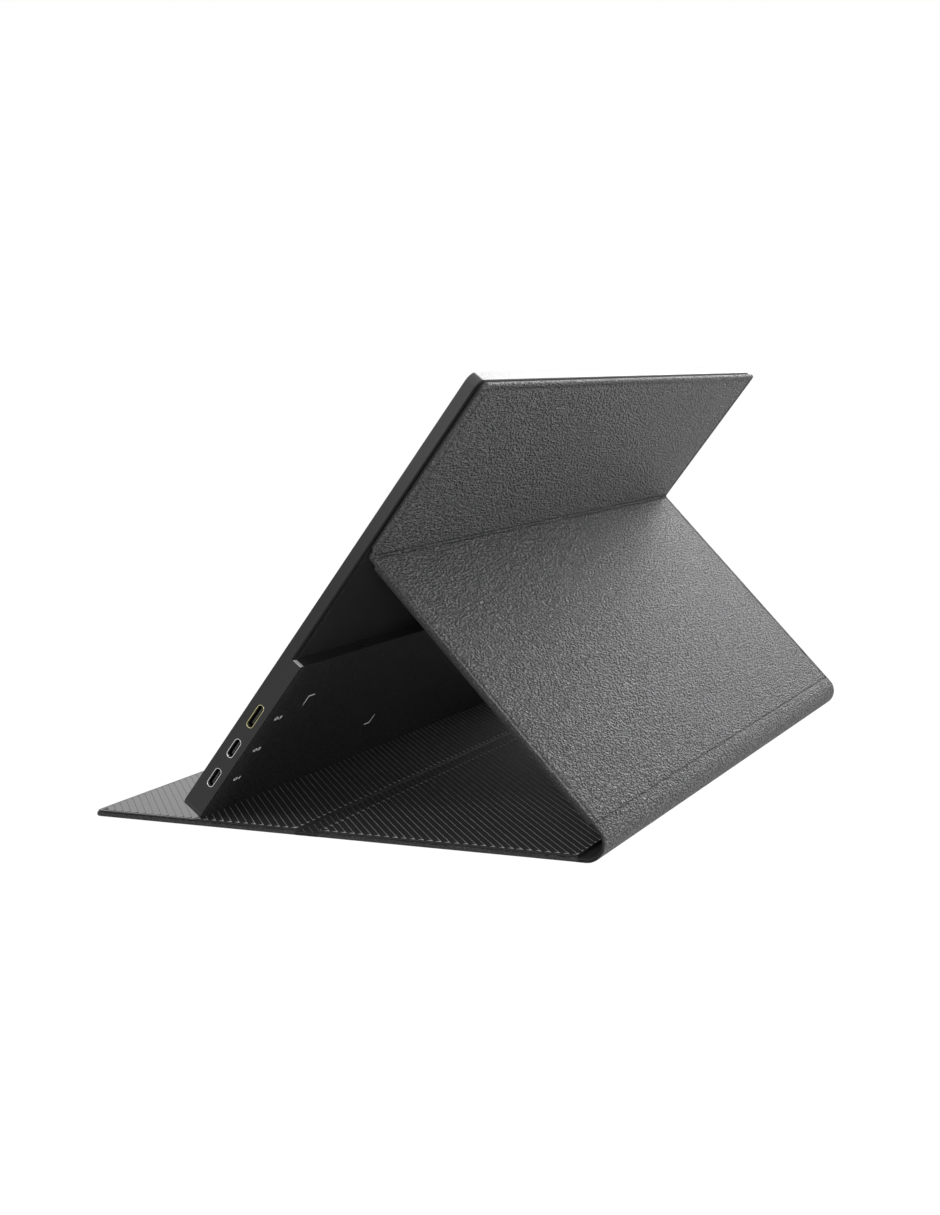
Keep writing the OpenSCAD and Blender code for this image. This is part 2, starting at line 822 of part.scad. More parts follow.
module magnet_places() {
    pitch = (screen_w - 2 * magnet_edge) / (magnet_count - 1);
    for (i = [0 : magnet_count - 1]) {
        translate([magnet_edge - screen_w / 2 + i * pitch, top_l - top_over - magnet_down]) children();
    }
}

module top_board() {
    e = top_ends();
    color("tan") in_top() translate([0, 0, skin_t]) linear_extrude(board_t) difference() {
        board_sheet(e[2], e[3], 0, cover_corner_r);
        magnet_places() circle(magnet_r + board_gap);
    }
}

module top_lining() {
    in_top() panel_lining(top_ends(), 0, cover_corner_r);
}

module top_magnets() {
    color("silver") in_top() translate([0, 0, skin_t]) linear_extrude(board_t)
        magnet_places() circle(magnet_r);
}

// Soft strip between the middle panel and the fold, where the cover bends both ways
module fold_skin() {
    start = fold_end + crease_gap / 2;
    color("dimgray") in_middle()
        linear_extrude(skin_t) outline(screen_w, start, middle_l - crease_gap / 2, 0, 0);
}

module fold_lining() {
    start = fold_end + crease_gap / 2;
    color("#2c2c2e") in_middle() translate([0, 0, skin_t])
        linear_extrude(lining_t) outline(lining_w, start, middle_l - crease_gap / 2, 0, 0);
}

// Half of the spine's arc from the angle where it starts, as a layer between two radii
module spine_half(start, outer, inner, width) {
    from = start + crease_turn;
    to = start + half_turn - crease_turn;
    on_table() translate([0, base_l, spine_r]) along_x(width) ring_sector(outer, inner, from, to);
}

module spine_skin(start) {
    color("dimgray") spine_half(start, spine_r, spine_r - skin_t, screen_w);
}

module spine_lining(start) {
    color("#2c2c2e") spine_half(start, spine_r - skin_t, spine_r - soft_t, lining_w);
}

// ---- Nodes ----

side_frame();
front_glass();
glass_tape();
lcd_cell();
optical_films();
light_guide();
led_strip();
reflector_sheet();
panel_tray();
foam_pads();
steel_plates();
rear_plate();
rear_block_cover();
main_board();
board_chips();
board_screws();
panel_cable();
usb_c_socket(usb_1_s);  // usb_c_socket_1
usb_c_socket(usb_2_s);  // usb_c_socket_2
usb_c_tongues();
usb_c_rings();
mini_hdmi_socket();
hdmi_tongue();
hdmi_ring();
headphone_jack();
button_board();
button_switches();
button_cable();
power_button();
menu_key();
top_skin();
top_board();
top_lining();
top_magnets();
fold_skin();
fold_lining();
middle_skin();
middle_board();
middle_lining();
spine_skin(0);  // spine_skin_lower
spine_skin(half_turn);  // spine_skin_upper
spine_lining(0);  // spine_lining_lower
spine_lining(half_turn);  // spine_lining_upper
base_rear_skin();
base_rear_board();
base_rear_lining();
base_front_skin();
base_front_board();
base_front_lining();
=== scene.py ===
"""Looks of the portable monitor with its folding cover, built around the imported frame."""
import logging
import math
from dataclasses import dataclass
from enum import Enum
from typing import Callable, Sequence

import bmesh
import bpy
from mathutils import Matrix, Vector
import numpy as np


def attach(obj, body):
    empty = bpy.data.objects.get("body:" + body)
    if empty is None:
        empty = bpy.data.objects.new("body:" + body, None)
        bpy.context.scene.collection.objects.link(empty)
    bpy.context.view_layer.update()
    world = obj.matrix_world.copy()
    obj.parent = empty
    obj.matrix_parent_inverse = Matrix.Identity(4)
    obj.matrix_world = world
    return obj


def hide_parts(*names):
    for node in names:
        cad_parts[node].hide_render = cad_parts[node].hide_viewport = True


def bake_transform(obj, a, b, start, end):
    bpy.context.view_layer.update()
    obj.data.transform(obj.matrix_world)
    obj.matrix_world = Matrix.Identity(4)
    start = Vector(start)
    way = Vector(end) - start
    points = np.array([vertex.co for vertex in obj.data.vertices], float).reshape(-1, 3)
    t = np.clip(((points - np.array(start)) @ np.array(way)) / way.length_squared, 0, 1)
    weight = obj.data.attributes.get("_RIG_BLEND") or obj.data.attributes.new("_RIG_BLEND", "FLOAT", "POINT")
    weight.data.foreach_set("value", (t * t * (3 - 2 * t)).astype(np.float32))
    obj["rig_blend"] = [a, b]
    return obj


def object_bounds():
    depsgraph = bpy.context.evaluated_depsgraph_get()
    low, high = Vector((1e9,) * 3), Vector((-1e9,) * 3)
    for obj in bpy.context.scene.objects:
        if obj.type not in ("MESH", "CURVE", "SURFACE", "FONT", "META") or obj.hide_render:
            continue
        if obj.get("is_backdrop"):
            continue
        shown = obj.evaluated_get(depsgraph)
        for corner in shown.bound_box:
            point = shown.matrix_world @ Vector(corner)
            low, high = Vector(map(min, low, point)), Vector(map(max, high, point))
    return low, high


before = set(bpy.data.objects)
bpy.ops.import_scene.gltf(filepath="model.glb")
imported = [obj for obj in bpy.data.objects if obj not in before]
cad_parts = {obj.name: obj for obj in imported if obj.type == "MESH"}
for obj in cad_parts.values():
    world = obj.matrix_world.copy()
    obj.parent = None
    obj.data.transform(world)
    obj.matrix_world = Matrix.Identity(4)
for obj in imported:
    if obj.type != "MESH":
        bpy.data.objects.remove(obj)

LOG = logging.getLogger("portable_monitor")
MM = 0.001
SAME_PLACE = 1e-7
Number = float | int
Colour = tuple[float, float, float]


class Body(Enum):
    """Bodies of the frame that the pieces ride on."""

    BASE_FRONT = "base_front"
    BASE_REAR = "base_rear"
    MIDDLE = "middle"
    TOP = "top"
    MONITOR = "monitor"
    POWER_KEY = "power_key"
    MENU_KEY = "menu_key"


def smooth_step(low: float, high: float, value: float) -> float:
    """Rises from 0 at low to 1 at high along an S curve."""
    share = min(1.0, max(0.0, (value - low) / (high - low)))
    return share * share * (3 - 2 * share)


# ---- Sizes ----


@dataclass(frozen=True)
class Stand:
    """Sizes in millimetres of the monitor and the cover, and how they stand."""

    width: float = 358
    height: float = 226
    block_t: float = 9.9
    panel_t: float = 5.6
    block_h: float = 85.6
    wall: float = 2.4
    border: float = 6.8
    chin: float = 25.4
    skin_t: float = 0.6
    board_t: float = 1.2
    lining_t: float = 0.8
    turned_edge: float = 2
    corner_r: float = 3
    base_l: float = 228
    base_fold: float = 105.4
    base_soft: float = 11.4
    middle_l: float = 138.9
    fold_s: float = 141.9
    top_over: float = 0.6
    fold_soft: float = 3.4
    spine_soft: float = 4
    spine_r: float = 8.1
    crease_r: float = 0.6
    crease_gap: float = 0.2
    board_gap: float = 0.1
    lean: float = 52
    hold_gap: float = 0.3
    foot_gap: float = 0.05

    @property
    def cover_t(self) -> float:
        """Thickness of the cover where it holds a board."""
        return self.skin_t + self.board_t + self.lining_t

    @property
    def soft_t(self) -> float:
        """Thickness of the cover where it holds no board."""
        return self.skin_t + self.lining_t

    @property
    def depth(self) -> float:
        """Depth of the whole stand on the table."""
        return self.base_l + self.spine_r

    @property
    def foot_z(self) -> float:
        """Height of the monitor's foot."""
        return self.cover_t + self.foot_gap

    @property
    def hold_step(self) -> float:
        """How far the upper panel's outer face lies from the block's back."""
        return self.panel_t - self.block_t + self.hold_gap + self.cover_t

    @property
    def fold_z(self) -> float:
        """Height of the fold."""
        lean = math.radians(self.lean)
        return self.foot_z + self.fold_s * math.sin(lean) - self.hold_step * math.cos(lean)

    @property
    def fall(self) -> float:
        """Slope of the middle panel, in radians."""
        reach = math.hypot(self.middle_l, self.spine_r)
        return math.asin((self.fold_z - self.spine_r) / reach) - math.atan(self.spine_r / self.middle_l)

    @property
    def spine_turn(self) -> float:
        """Angle that the spine turns through, in radians."""
        return math.pi - self.fall

    @property
    def top_l(self) -> float:
        """Length of the upper panel."""
        return self.height - self.fold_s + self.top_over

    @property
    def foot_y(self) -> float:
        """Distance of the monitor's foot from the base's front edge."""
        lean = math.radians(self.lean)
        spine_top = self.base_l + self.spine_r * math.sin(self.spine_turn)
        fold_y = spine_top - self.middle_l * math.cos(self.fall)
        return fold_y - self.fold_s * math.cos(lean) - self.hold_step * math.sin(lean)

    @property
    def rise(self) -> Vector:
        """Direction up the monitor's back."""
        return (self.on_monitor(0, 1, 0) - self.on_monitor(0, 0, 0)).normalized()

    def on_monitor(self, x: float, s: float, z: float) -> Vector:
        """Gives a place on the monitor in metres.

        Args:
            x: Distance along the width from the middle.
            s: Distance up the back from the foot.
            z: Distance from the block's back towards the viewer of the screen.

        Returns:
            The place in the row's frame.
        """
        lean = math.radians(self.lean)
        y = self.foot_y + s * math.cos(lean) - z * math.sin(lean) - self.depth / 2
        return Vector((x, y, self.foot_z + s * math.sin(lean) + z * math.cos(lean))) * MM


STAND = Stand()


class CoverPath:
    """The cover's outer face in side view, from the base's front edge to the upper panel's end."""

    def __init__(self, stand: Stand) -> None:
        """Lays out the straights and bends.

        Args:
            stand: The sizes that the path follows.
        """
        bend = stand.spine_turn - math.radians(stand.lean)
        cut = stand.crease_r * math.tan(bend / 2)
        self.parts: list[tuple[float, float]] = [
            (stand.base_l, 0),
            (stand.spine_r * stand.spine_turn, stand.spine_turn),
            (stand.middle_l - cut, 0),
            (stand.crease_r * bend, -bend),
            (stand.top_l - cut, 0),
        ]
        self.start = (-stand.depth / 2, 0.0)
        self.spine_end = self.parts[0][0] + self.parts[1][0]
        self.fold_start = self.spine_end + self.parts[2][0]
        self.fold_end = self.fold_start + self.parts[3][0]
        self.end = self.fold_end + self.parts[4][0]

    def place(self, x: float, u: float, d: float) -> Vector:
        """Places a point of the flat cover on the standing one.

        Args:
            x: Distance along the width from the middle.
            u: Distance along the cover from the base's front edge.
            d: Depth from the outer face towards the lining.

        Returns:
            The place in the row's frame, in metres.
        """
        y, z = self.start
        heading, left = 0.0, u
        for length, turn in self.parts:
            run = min(left, length) if (length, turn) != self.parts[-1] else left
            if turn:
                radius = length / turn
                swing = run / radius
                y += radius * (math.sin(heading + swing) - math.sin(heading))
                z += radius * (math.cos(heading) - math.cos(heading + swing))
                heading += swing
            else:
                y += run * math.cos(heading)
                z += run * math.sin(heading)
            left -= run
            if left <= 0:
                break
        return Vector((x, y - d * math.sin(heading), z + d * math.cos(heading))) * MM


PATH = CoverPath(STAND)


# ---- Node maths ----


class Value:
    """A node's socket that adds Math nodes as Python expressions are written."""

    def __init__(self, tree: "NodeTree", socket: bpy.types.NodeSocket) -> None:
        """Wraps a node's output.

        Args:
            tree: The tree that the socket belongs to.
            socket: The output to wrap.
        """
        self.tree = tree
        self.socket = socket

    def _math(self, operation: str, *values: "Value | Number") -> "Value":
        """Adds a Math node of the operation on the values."""
        return self.tree.node("ShaderNodeMath", {"operation": operation}, dict(enumerate(values)))

    def __add__(self, other: "Value | Number") -> "Value":
        """Adds."""
        return self._math("ADD", self, other)

    def __radd__(self, other: Number) -> "Value":
        """Adds to a number."""
        return self._math("ADD", other, self)

    def __sub__(self, other: "Value | Number") -> "Value":
        """Subtracts."""
        return self._math("SUBTRACT", self, other)

    def __rsub__(self, other: Number) -> "Value":
        """Subtracts from a number."""
        return self._math("SUBTRACT", other, self)

    def __mul__(self, other: "Value | Number") -> "Value":
        """Multiplies."""
        return self._math("MULTIPLY", self, other)

    def __rmul__(self, other: Number) -> "Value":
        """Multiplies a number."""
        return self._math("MULTIPLY", other, self)

    def __truediv__(self, other: "Value | Number") -> "Value":
        """Divides."""
        return self._math("DIVIDE", self, other)

    def __gt__(self, other: "Value | Number") -> "Value":
        """Gives 1 where it is greater."""
        return self._math("GREATER_THAN", self, other)

    def least(self, other: "Value | Number") -> "Value":
        """Takes the lesser."""
        return self._math("MINIMUM", self, other)

    def greatest(self, other: "Value | Number") -> "Value":
        """Takes the greater."""
        return self._math("MAXIMUM", self, other)

    def size(self) -> "Value":
        """Drops the sign."""
        return self._math("ABSOLUTE", self)

    def of(self, operation: str) -> "Value":
        """Takes a function of one value, such as SINE or FLOOR."""
        return self._math(operation, self)

    def ramp(self, low: float, high: float, start: float = 0.0, end: float = 1.0) -> "Value":
        """Maps low to start and high to end along an S curve, clamped.

        Args:
            low: Value that gives start.
            high: Value that gives end.
            start: First result.
            end: Last result.

        Returns:
            The mapped value.
        """
        settings = {"interpolation_type": "SMOOTHSTEP"}
        sockets = {"Value": self, "From Min": low, "From Max": high, "To Min": start, "To Max": end}
        return self.tree.node("ShaderNodeMapRange", settings, sockets, "Result")


Link = Value | Number | Sequence[float] | str


class NodeTree:
    """A node tree with one call that adds any node."""

    def __init__(self, tree: bpy.types.NodeTree) -> None:
        """Takes over a tree and empties it.

        Args:
            tree: The tree to build in.
        """
        self.tree = tree
        self.tree.nodes.clear()

    def node(
        self,
        kind: str,
        settings: dict[str, object] | None = None,
        sockets: dict[str | int, Link] | None = None,
        output: str | int = 0,
    ) -> Value:
        """Adds a node.

        Args:
            kind: The node's type.
            settings: Properties, which are set first.
            sockets: Values or links of its inputs, by name or number.
            output: The output to hand back.

        Returns:
            The chosen output.
        """
        made = self.tree.nodes.new(kind)
        for key, value in (settings or {}).items():
            setattr(made, key, value)
        for key, value in (sockets or {}).items():
            if isinstance(value, Value):
                self.tree.links.new(value.socket, made.inputs[key])
            else:
                made.inputs[key].default_value = value
        return Value(self, made.outputs[output] if len(made.outputs) else made.inputs[0])


class Shader(NodeTree):
    """A material's node tree with short calls for the nodes in use."""

    def __init__(self, name: str) -> None:
        """Makes an empty material.

        Args:
            name: The material's name.
        """
        self.material = bpy.data.materials.new(name)
        self.material.use_nodes = True
        super().__init__(self.material.node_tree)

    def place(self) -> Value:
        """Gives the object's own coordinates, in metres."""
        return self.node("ShaderNodeTexCoord", output="Object")

    def mark(self, name: str) -> Value:
        """Reads a number that the piece's mesh carries."""
        return self.node("ShaderNodeAttribute", {"attribute_name": name}, None, "Fac")

    def noise(self, vector: Value, size: float, detail: float = 2.0, rough: float = 0.5) -> Value:
        """Adds a noise texture with features of a size in metres."""
        sockets = {"Vector": vector, "Scale": 1 / size, "Detail": detail, "Roughness": rough}
        return self.node("ShaderNodeTexNoise", None, sockets, "Fac")

    def cell_edges(self, vector: Value, size: float) -> Value:
        """Adds cells of a size in metres and gives the distance to their edges."""
        settings = {"feature": "DISTANCE_TO_EDGE"}
        return self.node("ShaderNodeTexVoronoi", settings, {"Vector": vector, "Scale": 1 / size}, "Distance")

    def stretched(self, vector: Value, scale: Sequence[float]) -> Value:
        """Scales coordinates per axis."""
        return self.node("ShaderNodeVectorMath", {"operation": "MULTIPLY"}, {0: vector, 1: tuple(scale)})

    def along(self, vector: Value, axis: Sequence[float]) -> Value:
        """Measures coordinates along an axis."""
        settings = {"operation": "DOT_PRODUCT"}
        return self.node("ShaderNodeVectorMath", settings, {0: vector, 1: tuple(axis)}, "Value")

    def across(self, place: Value) -> Value:
        """Measures how far coordinates lie from the middle of the width, in metres."""
        return self.along(place, (1, 0, 0)).size()

    def up_back(self, place: Value) -> Value:
        """Measures coordinates up the monitor's back from its foot, in metres."""
        return self.along(place, STAND.rise) - STAND.on_monitor(0, 0, 0).dot(STAND.rise)

    def blend(self, mask: Value, low: "Colour | Value", high: "Colour | Value") -> Value:
        """Mixes two colours, from low where the mask is 0 to high where it is 1."""
        first, last = (c if isinstance(c, Value) else (*c, 1.0) for c in (low, high))
        return self.node("ShaderNodeMix", {"data_type": "RGBA"}, {0: mask, 6: first, 7: last}, 2)

    def bump(self, height: Value, distance: float) -> Value:
        """Turns a height into a normal; distance is the height of 1, in metres."""
        return self.node("ShaderNodeBump", None, {"Strength": 1.0, "Distance": distance, "Height": height})

    def finish(self, sockets: dict[str | int, Link]) -> bpy.types.Material:
        """Ends the tree in a Principled BSDF.

        Args:
            sockets: Values or links of its inputs.

        Returns:
            The finished material.
        """
        surface = self.node("ShaderNodeBsdfPrincipled", None, sockets)
        self.node("ShaderNodeOutputMaterial", None, {"Surface": surface})
        return self.material


# ---- Finishes ----


@dataclass(frozen=True)
class PebbledLeather:
    """Grained leather: rounded pebbles, worm-shaped folds and furrows between them.

    Lengths are in metres. The grain is a pebble's size, and is drawn out along the width. The shares are
    those of the pebbles, folds, fine grain and clouds in the tone, and plain is the tone where the grain is
    pressed flat. The dark furrow colour is partly the grain's own and partly painted shade in its hollows.
    The dark lines are painted shade in the grooves and the valley, broken up in patches.
    """

    name: str = "pebbled_leather"
    slot: str = "cover_leather"
    furrow: Colour = (0.02, 0.02, 0.0205)
    pebble: Colour = (0.112, 0.112, 0.114)
    # Colour of the painted shade in the grooves and the valley.
    line: Colour = (0.02, 0.02, 0.0205)
    # Colour of the painted shade on the rims below the fold.
    rim: Colour = (0.022, 0.022, 0.0225)
    grain: float = 0.00098
    relief: float = 0.0023
    draw: float = 0.45
    shares: tuple[float, float, float, float] = (0.15, 0.65, 0.15, 0.05)
    plain: float = 0.45
    pressed: float = 0.93
    patch: float = 0.003
    cloud: float = 0.03
    rough: tuple[float, float] = (0.62, 0.5)
    gloss: float = 0.42

    def make(self) -> bpy.types.Material:
        """Builds the material."""
        shader, grain = Shader(self.name), self.grain
        place = shader.stretched(shader.place(), (self.draw, 1, 1))
        sway = {"Vector": place, "Scale": 0.7 / grain, "Detail": 1.0}
        warp = shader.node("ShaderNodeTexNoise", None, sway, "Color")
        moved = shader.node("ShaderNodeVectorMath", {"operation": "MULTIPLY_ADD"},
                            {0: warp, 1: (grain * 0.9,) * 3, 2: place})
        between = shader.cell_edges(moved, grain)
        merged = shader.noise(place, grain * 1.1, 1).ramp(0.45, 0.62)
        pebbles = (between.ramp(0.0, 0.2) + merged * 0.7).least(1.0)
        folds = shader.noise(moved, grain * 0.9, 0).ramp(0.32, 0.68)
        fine = shader.noise(place, grain * 0.35, 2)
        # The dark lines are painted shade in the hollows, broken up in patches.
        line = shader.mark("line") * shader.noise(place, self.patch, 2).ramp(0.3, 0.6, 0.4, 1)
        kept = 1 - shader.mark("bare").greatest(line) * self.pressed
        layers = (pebbles, folds, fine, shader.noise(place, self.cloud, 3))
        first, *others = (layer * share for layer, share in zip(layers, self.shares))
        tone = sum(others, first) * kept + (1 - kept) * self.plain
        # The furrows' dark colour is partly the grain's own and partly painted shade in its hollows.
        grained = shader.blend(tone, self.furrow, self.pebble)
        # Painted shade: the rims of the panels below the fold turn dark.
        edged = shader.blend(shader.mark("rim"), grained, self.rim)
        height = (folds + between.ramp(0.0, 0.35) * 0.45 + fine * 0.08) * kept
        return shader.finish({
            "Base Color": shader.blend(line, edged, self.line),
            "Roughness": pebbles.ramp(0, 1, *self.rough),
            "Specular IOR Level": self.gloss,
            "Normal": shader.bump(height, self.relief),
        })


@dataclass(frozen=True)
class SatinLining:
    """Woven lining with a satin face, or the pale colour of its groove floors and rib flanks.

    The shares scale the light colour before and behind the monitor's foot. For the satin they are painted
    shade, darker behind the foot, under the monitor; for the groove floors and flanks they are painted light,
    nearly black in front of the foot and pale behind it. duller is the roughness added behind the foot. The
    change lies over the fade, in metres before the foot. Past rim_inset, in millimetres from the cover's
    side, the cloth is plain in the edge colour.
    """

    name: str = "satin_lining"
    slot: str = "ribbed_lining"
    edge: Colour = (0.002, 0.002, 0.0021)
    light: Colour = (0.012, 0.012, 0.0123)
    shares: tuple[float, float] = (1.0, 0.1)
    duller: float = 0.55
    gloss: float = 0.5
    thread: float = 0.0003
    rough: tuple[float, float] = (0.16, 0.22)
    fade: tuple[float, float] = (0.004, 0.001)
    rim_inset: float = 0.75
    rim_fade: float = 0.0001
    relief: float = 0.000004

    def make(self) -> bpy.types.Material:
        """Builds the material."""
        shader = Shader(self.name)
        place = shader.place()
        weave = shader.noise(shader.stretched(place, (1, 2.5, 2.5)), self.thread, 2)
        wear = shader.noise(place, 0.02, 3)
        rim = (STAND.width / 2 - self.rim_inset) * MM
        inside = shader.across(place).ramp(rim - self.rim_fade, rim, 1, 0)
        foot = STAND.on_monitor(0, 0, 0).y
        behind = shader.along(place, (0, 1, 0)).ramp(*(foot - before for before in self.fade))
        # Painted shade under the monitor: the shares darken the satin behind the foot; for the groove floors
        # they are painted light there instead.
        tone = (weave * 0.4 + wear * 0.3 + 0.3) * inside * behind.ramp(0, 1, *self.shares)
        return shader.finish({
            "Base Color": shader.blend(tone, self.edge, self.light),
            "Roughness": weave.ramp(0.2, 0.8, *self.rough) + behind * self.duller,
            "Specular IOR Level": self.gloss,
            "Normal": shader.bump(weave, self.relief),
        })


@dataclass(frozen=True)
class Coat:
    """Fine speckled coat between two shades.

    Places are in millimetres up the monitor's back. Above dull_above the coat is rough and nearly black, a
    painted shade. Between the two places of climb it turns from its own shades to the one called high, a
    painted light that grows towards the top.
    """

    name: str
    slot: str
    shade: Colour
    light: Colour
    rough: float = 0.42
    speck: float = 0.00025
    relief: float = 0.000012
    gloss: float = 0.5
    dull_above: float = 1000
    painted_shade: Colour = (0.003, 0.003, 0.003)
    dull_fade: float = 0.04
    dull_rough: float = 0.85
    high: Colour = (0, 0, 0)
    climb: tuple[float, float] = (1000, 1001)

    def make(self) -> bpy.types.Material:
        """Builds the material."""
        shader = Shader(self.name)
        place = shader.place()
        specks = shader.noise(place, self.speck, 2, 0.6)
        cloud = shader.noise(place, 0.025, 3)
        level = shader.up_back(place) / MM
        # Painted shade: above dull_above the coat turns nearly black.
        upper = level.ramp(self.dull_above - self.dull_fade, self.dull_above)
        coat = shader.blend(specks * 0.7 + cloud * 0.3, self.shade, self.light)
        # Painted light: the coat grows lighter towards the top of the monitor.
        graded = shader.blend(level.ramp(*self.climb), coat, self.high)
        rough = specks.ramp(0.2, 0.8, self.rough - 0.04, self.rough + 0.06)
        return shader.finish({
            "Base Color": shader.blend(upper, graded, self.painted_shade),
            "Roughness": rough.greatest(upper * self.dull_rough),
            "Specular IOR Level": self.gloss,
            "Normal": shader.bump(specks, self.relief),
        })


@dataclass(frozen=True)
class PrintedInk:
    """Pale ink with a painted glow, so that it stays easy to read in the shade."""

    name: str = "printed_grey"
    slot: str = "matte_black"
    shade: Colour = (0.82, 0.82, 0.82)
    light: Colour = (0.95, 0.95, 0.95)
    grain: float = 0.0002
    rough: float = 0.6
    painted_glow: float = 0.22

    def make(self) -> bpy.types.Material:
        """Builds the material."""
        shader = Shader(self.name)
        tone = shader.blend(shader.noise(shader.place(), self.grain, 2), self.shade, self.light)
        return shader.finish({
            "Base Color": tone,
            # Painted light: the ink glows by itself, though it is no lamp.
            "Emission Color": tone,
            "Emission Strength": self.painted_glow,
            "Roughness": self.rough,
        })


@dataclass(frozen=True)
class BrushedMetal:
    """Bright metal with fine lines drawn along the monitor's edge."""

    name: str
    slot: str
    shade: Colour
    light: Colour
    rough: float = 0.28
    line: float = 0.0004
    relief: float = 0.000004

    def make(self) -> bpy.types.Material:
        """Builds the material."""
        shader = Shader(self.name)
        lines = shader.noise(shader.stretched(shader.place(), (6, 0.4, 0.4)), self.line, 3)
        return shader.finish({
            "Base Color": shader.blend(lines, self.shade, self.light),
            "Roughness": lines.ramp(0.2, 0.8, self.rough - 0.05, self.rough + 0.08),
            "Metallic": 1.0,
            "Normal": shader.bump(lines, self.relief),
        })


@dataclass(frozen=True)
class Polished:
    """Smooth moulding or film with a faint ripple and dust."""

    name: str
    slot: str
    shade: Colour
    light: Colour
    rough: float = 0.12
    ripple: float = 0.02
    relief: float = 0.00001
    dust: float = 0.0006
    gloss: float = 0.5

    def make(self) -> bpy.types.Material:
        """Builds the material."""
        shader = Shader(self.name)
        place = shader.place()
        cloud = shader.noise(place, self.ripple, 2)
        dust = shader.noise(place, self.dust, 3, 0.7).ramp(0.62, 0.8)
        return shader.finish({
            "Base Color": shader.blend(cloud, self.shade, self.light),
            "Roughness": dust.ramp(0, 1, self.rough, self.rough + 0.12) + cloud * 0.02,
            "Specular IOR Level": self.gloss,
            "Normal": shader.bump(cloud, self.relief),
        })


@dataclass(frozen=True)
class ScreenGlass:
    """Matt front glass: black ink round a dark panel that is switched off."""

    name: str = "screen_glass"
    slot: str = "front_glass"
    ink: Colour = (0.003, 0.003, 0.0035)
    panel: Colour = (0.012, 0.0128, 0.0145)
    edge: float = 0.00006
    smear: float = 0.035
    rough: tuple[float, float] = (0.3, 0.31)
    gloss: float = 0.22

    def make(self) -> bpy.types.Material:
        """Builds the material."""
        shader, edge = Shader(self.name), self.edge
        place = shader.place()
        level = shader.up_back(place)
        half = (STAND.width / 2 - STAND.border) * MM
        low, high = STAND.chin * MM, (STAND.height - STAND.border) * MM
        across = shader.across(place).ramp(half - edge, half + edge, 1, 0)
        up = level.ramp(low - edge, low + edge) * level.ramp(high - edge, high + edge, 1, 0)
        return shader.finish({
            "Base Color": shader.blend(across * up, self.ink, self.panel),
            "Roughness": shader.noise(place, self.smear, 4, 0.6).ramp(0.4, 0.7, *self.rough),
            "Specular IOR Level": self.gloss,
        })


Finish = PebbledLeather | SatinLining | Coat | PrintedInk | BrushedMetal | Polished | ScreenGlass


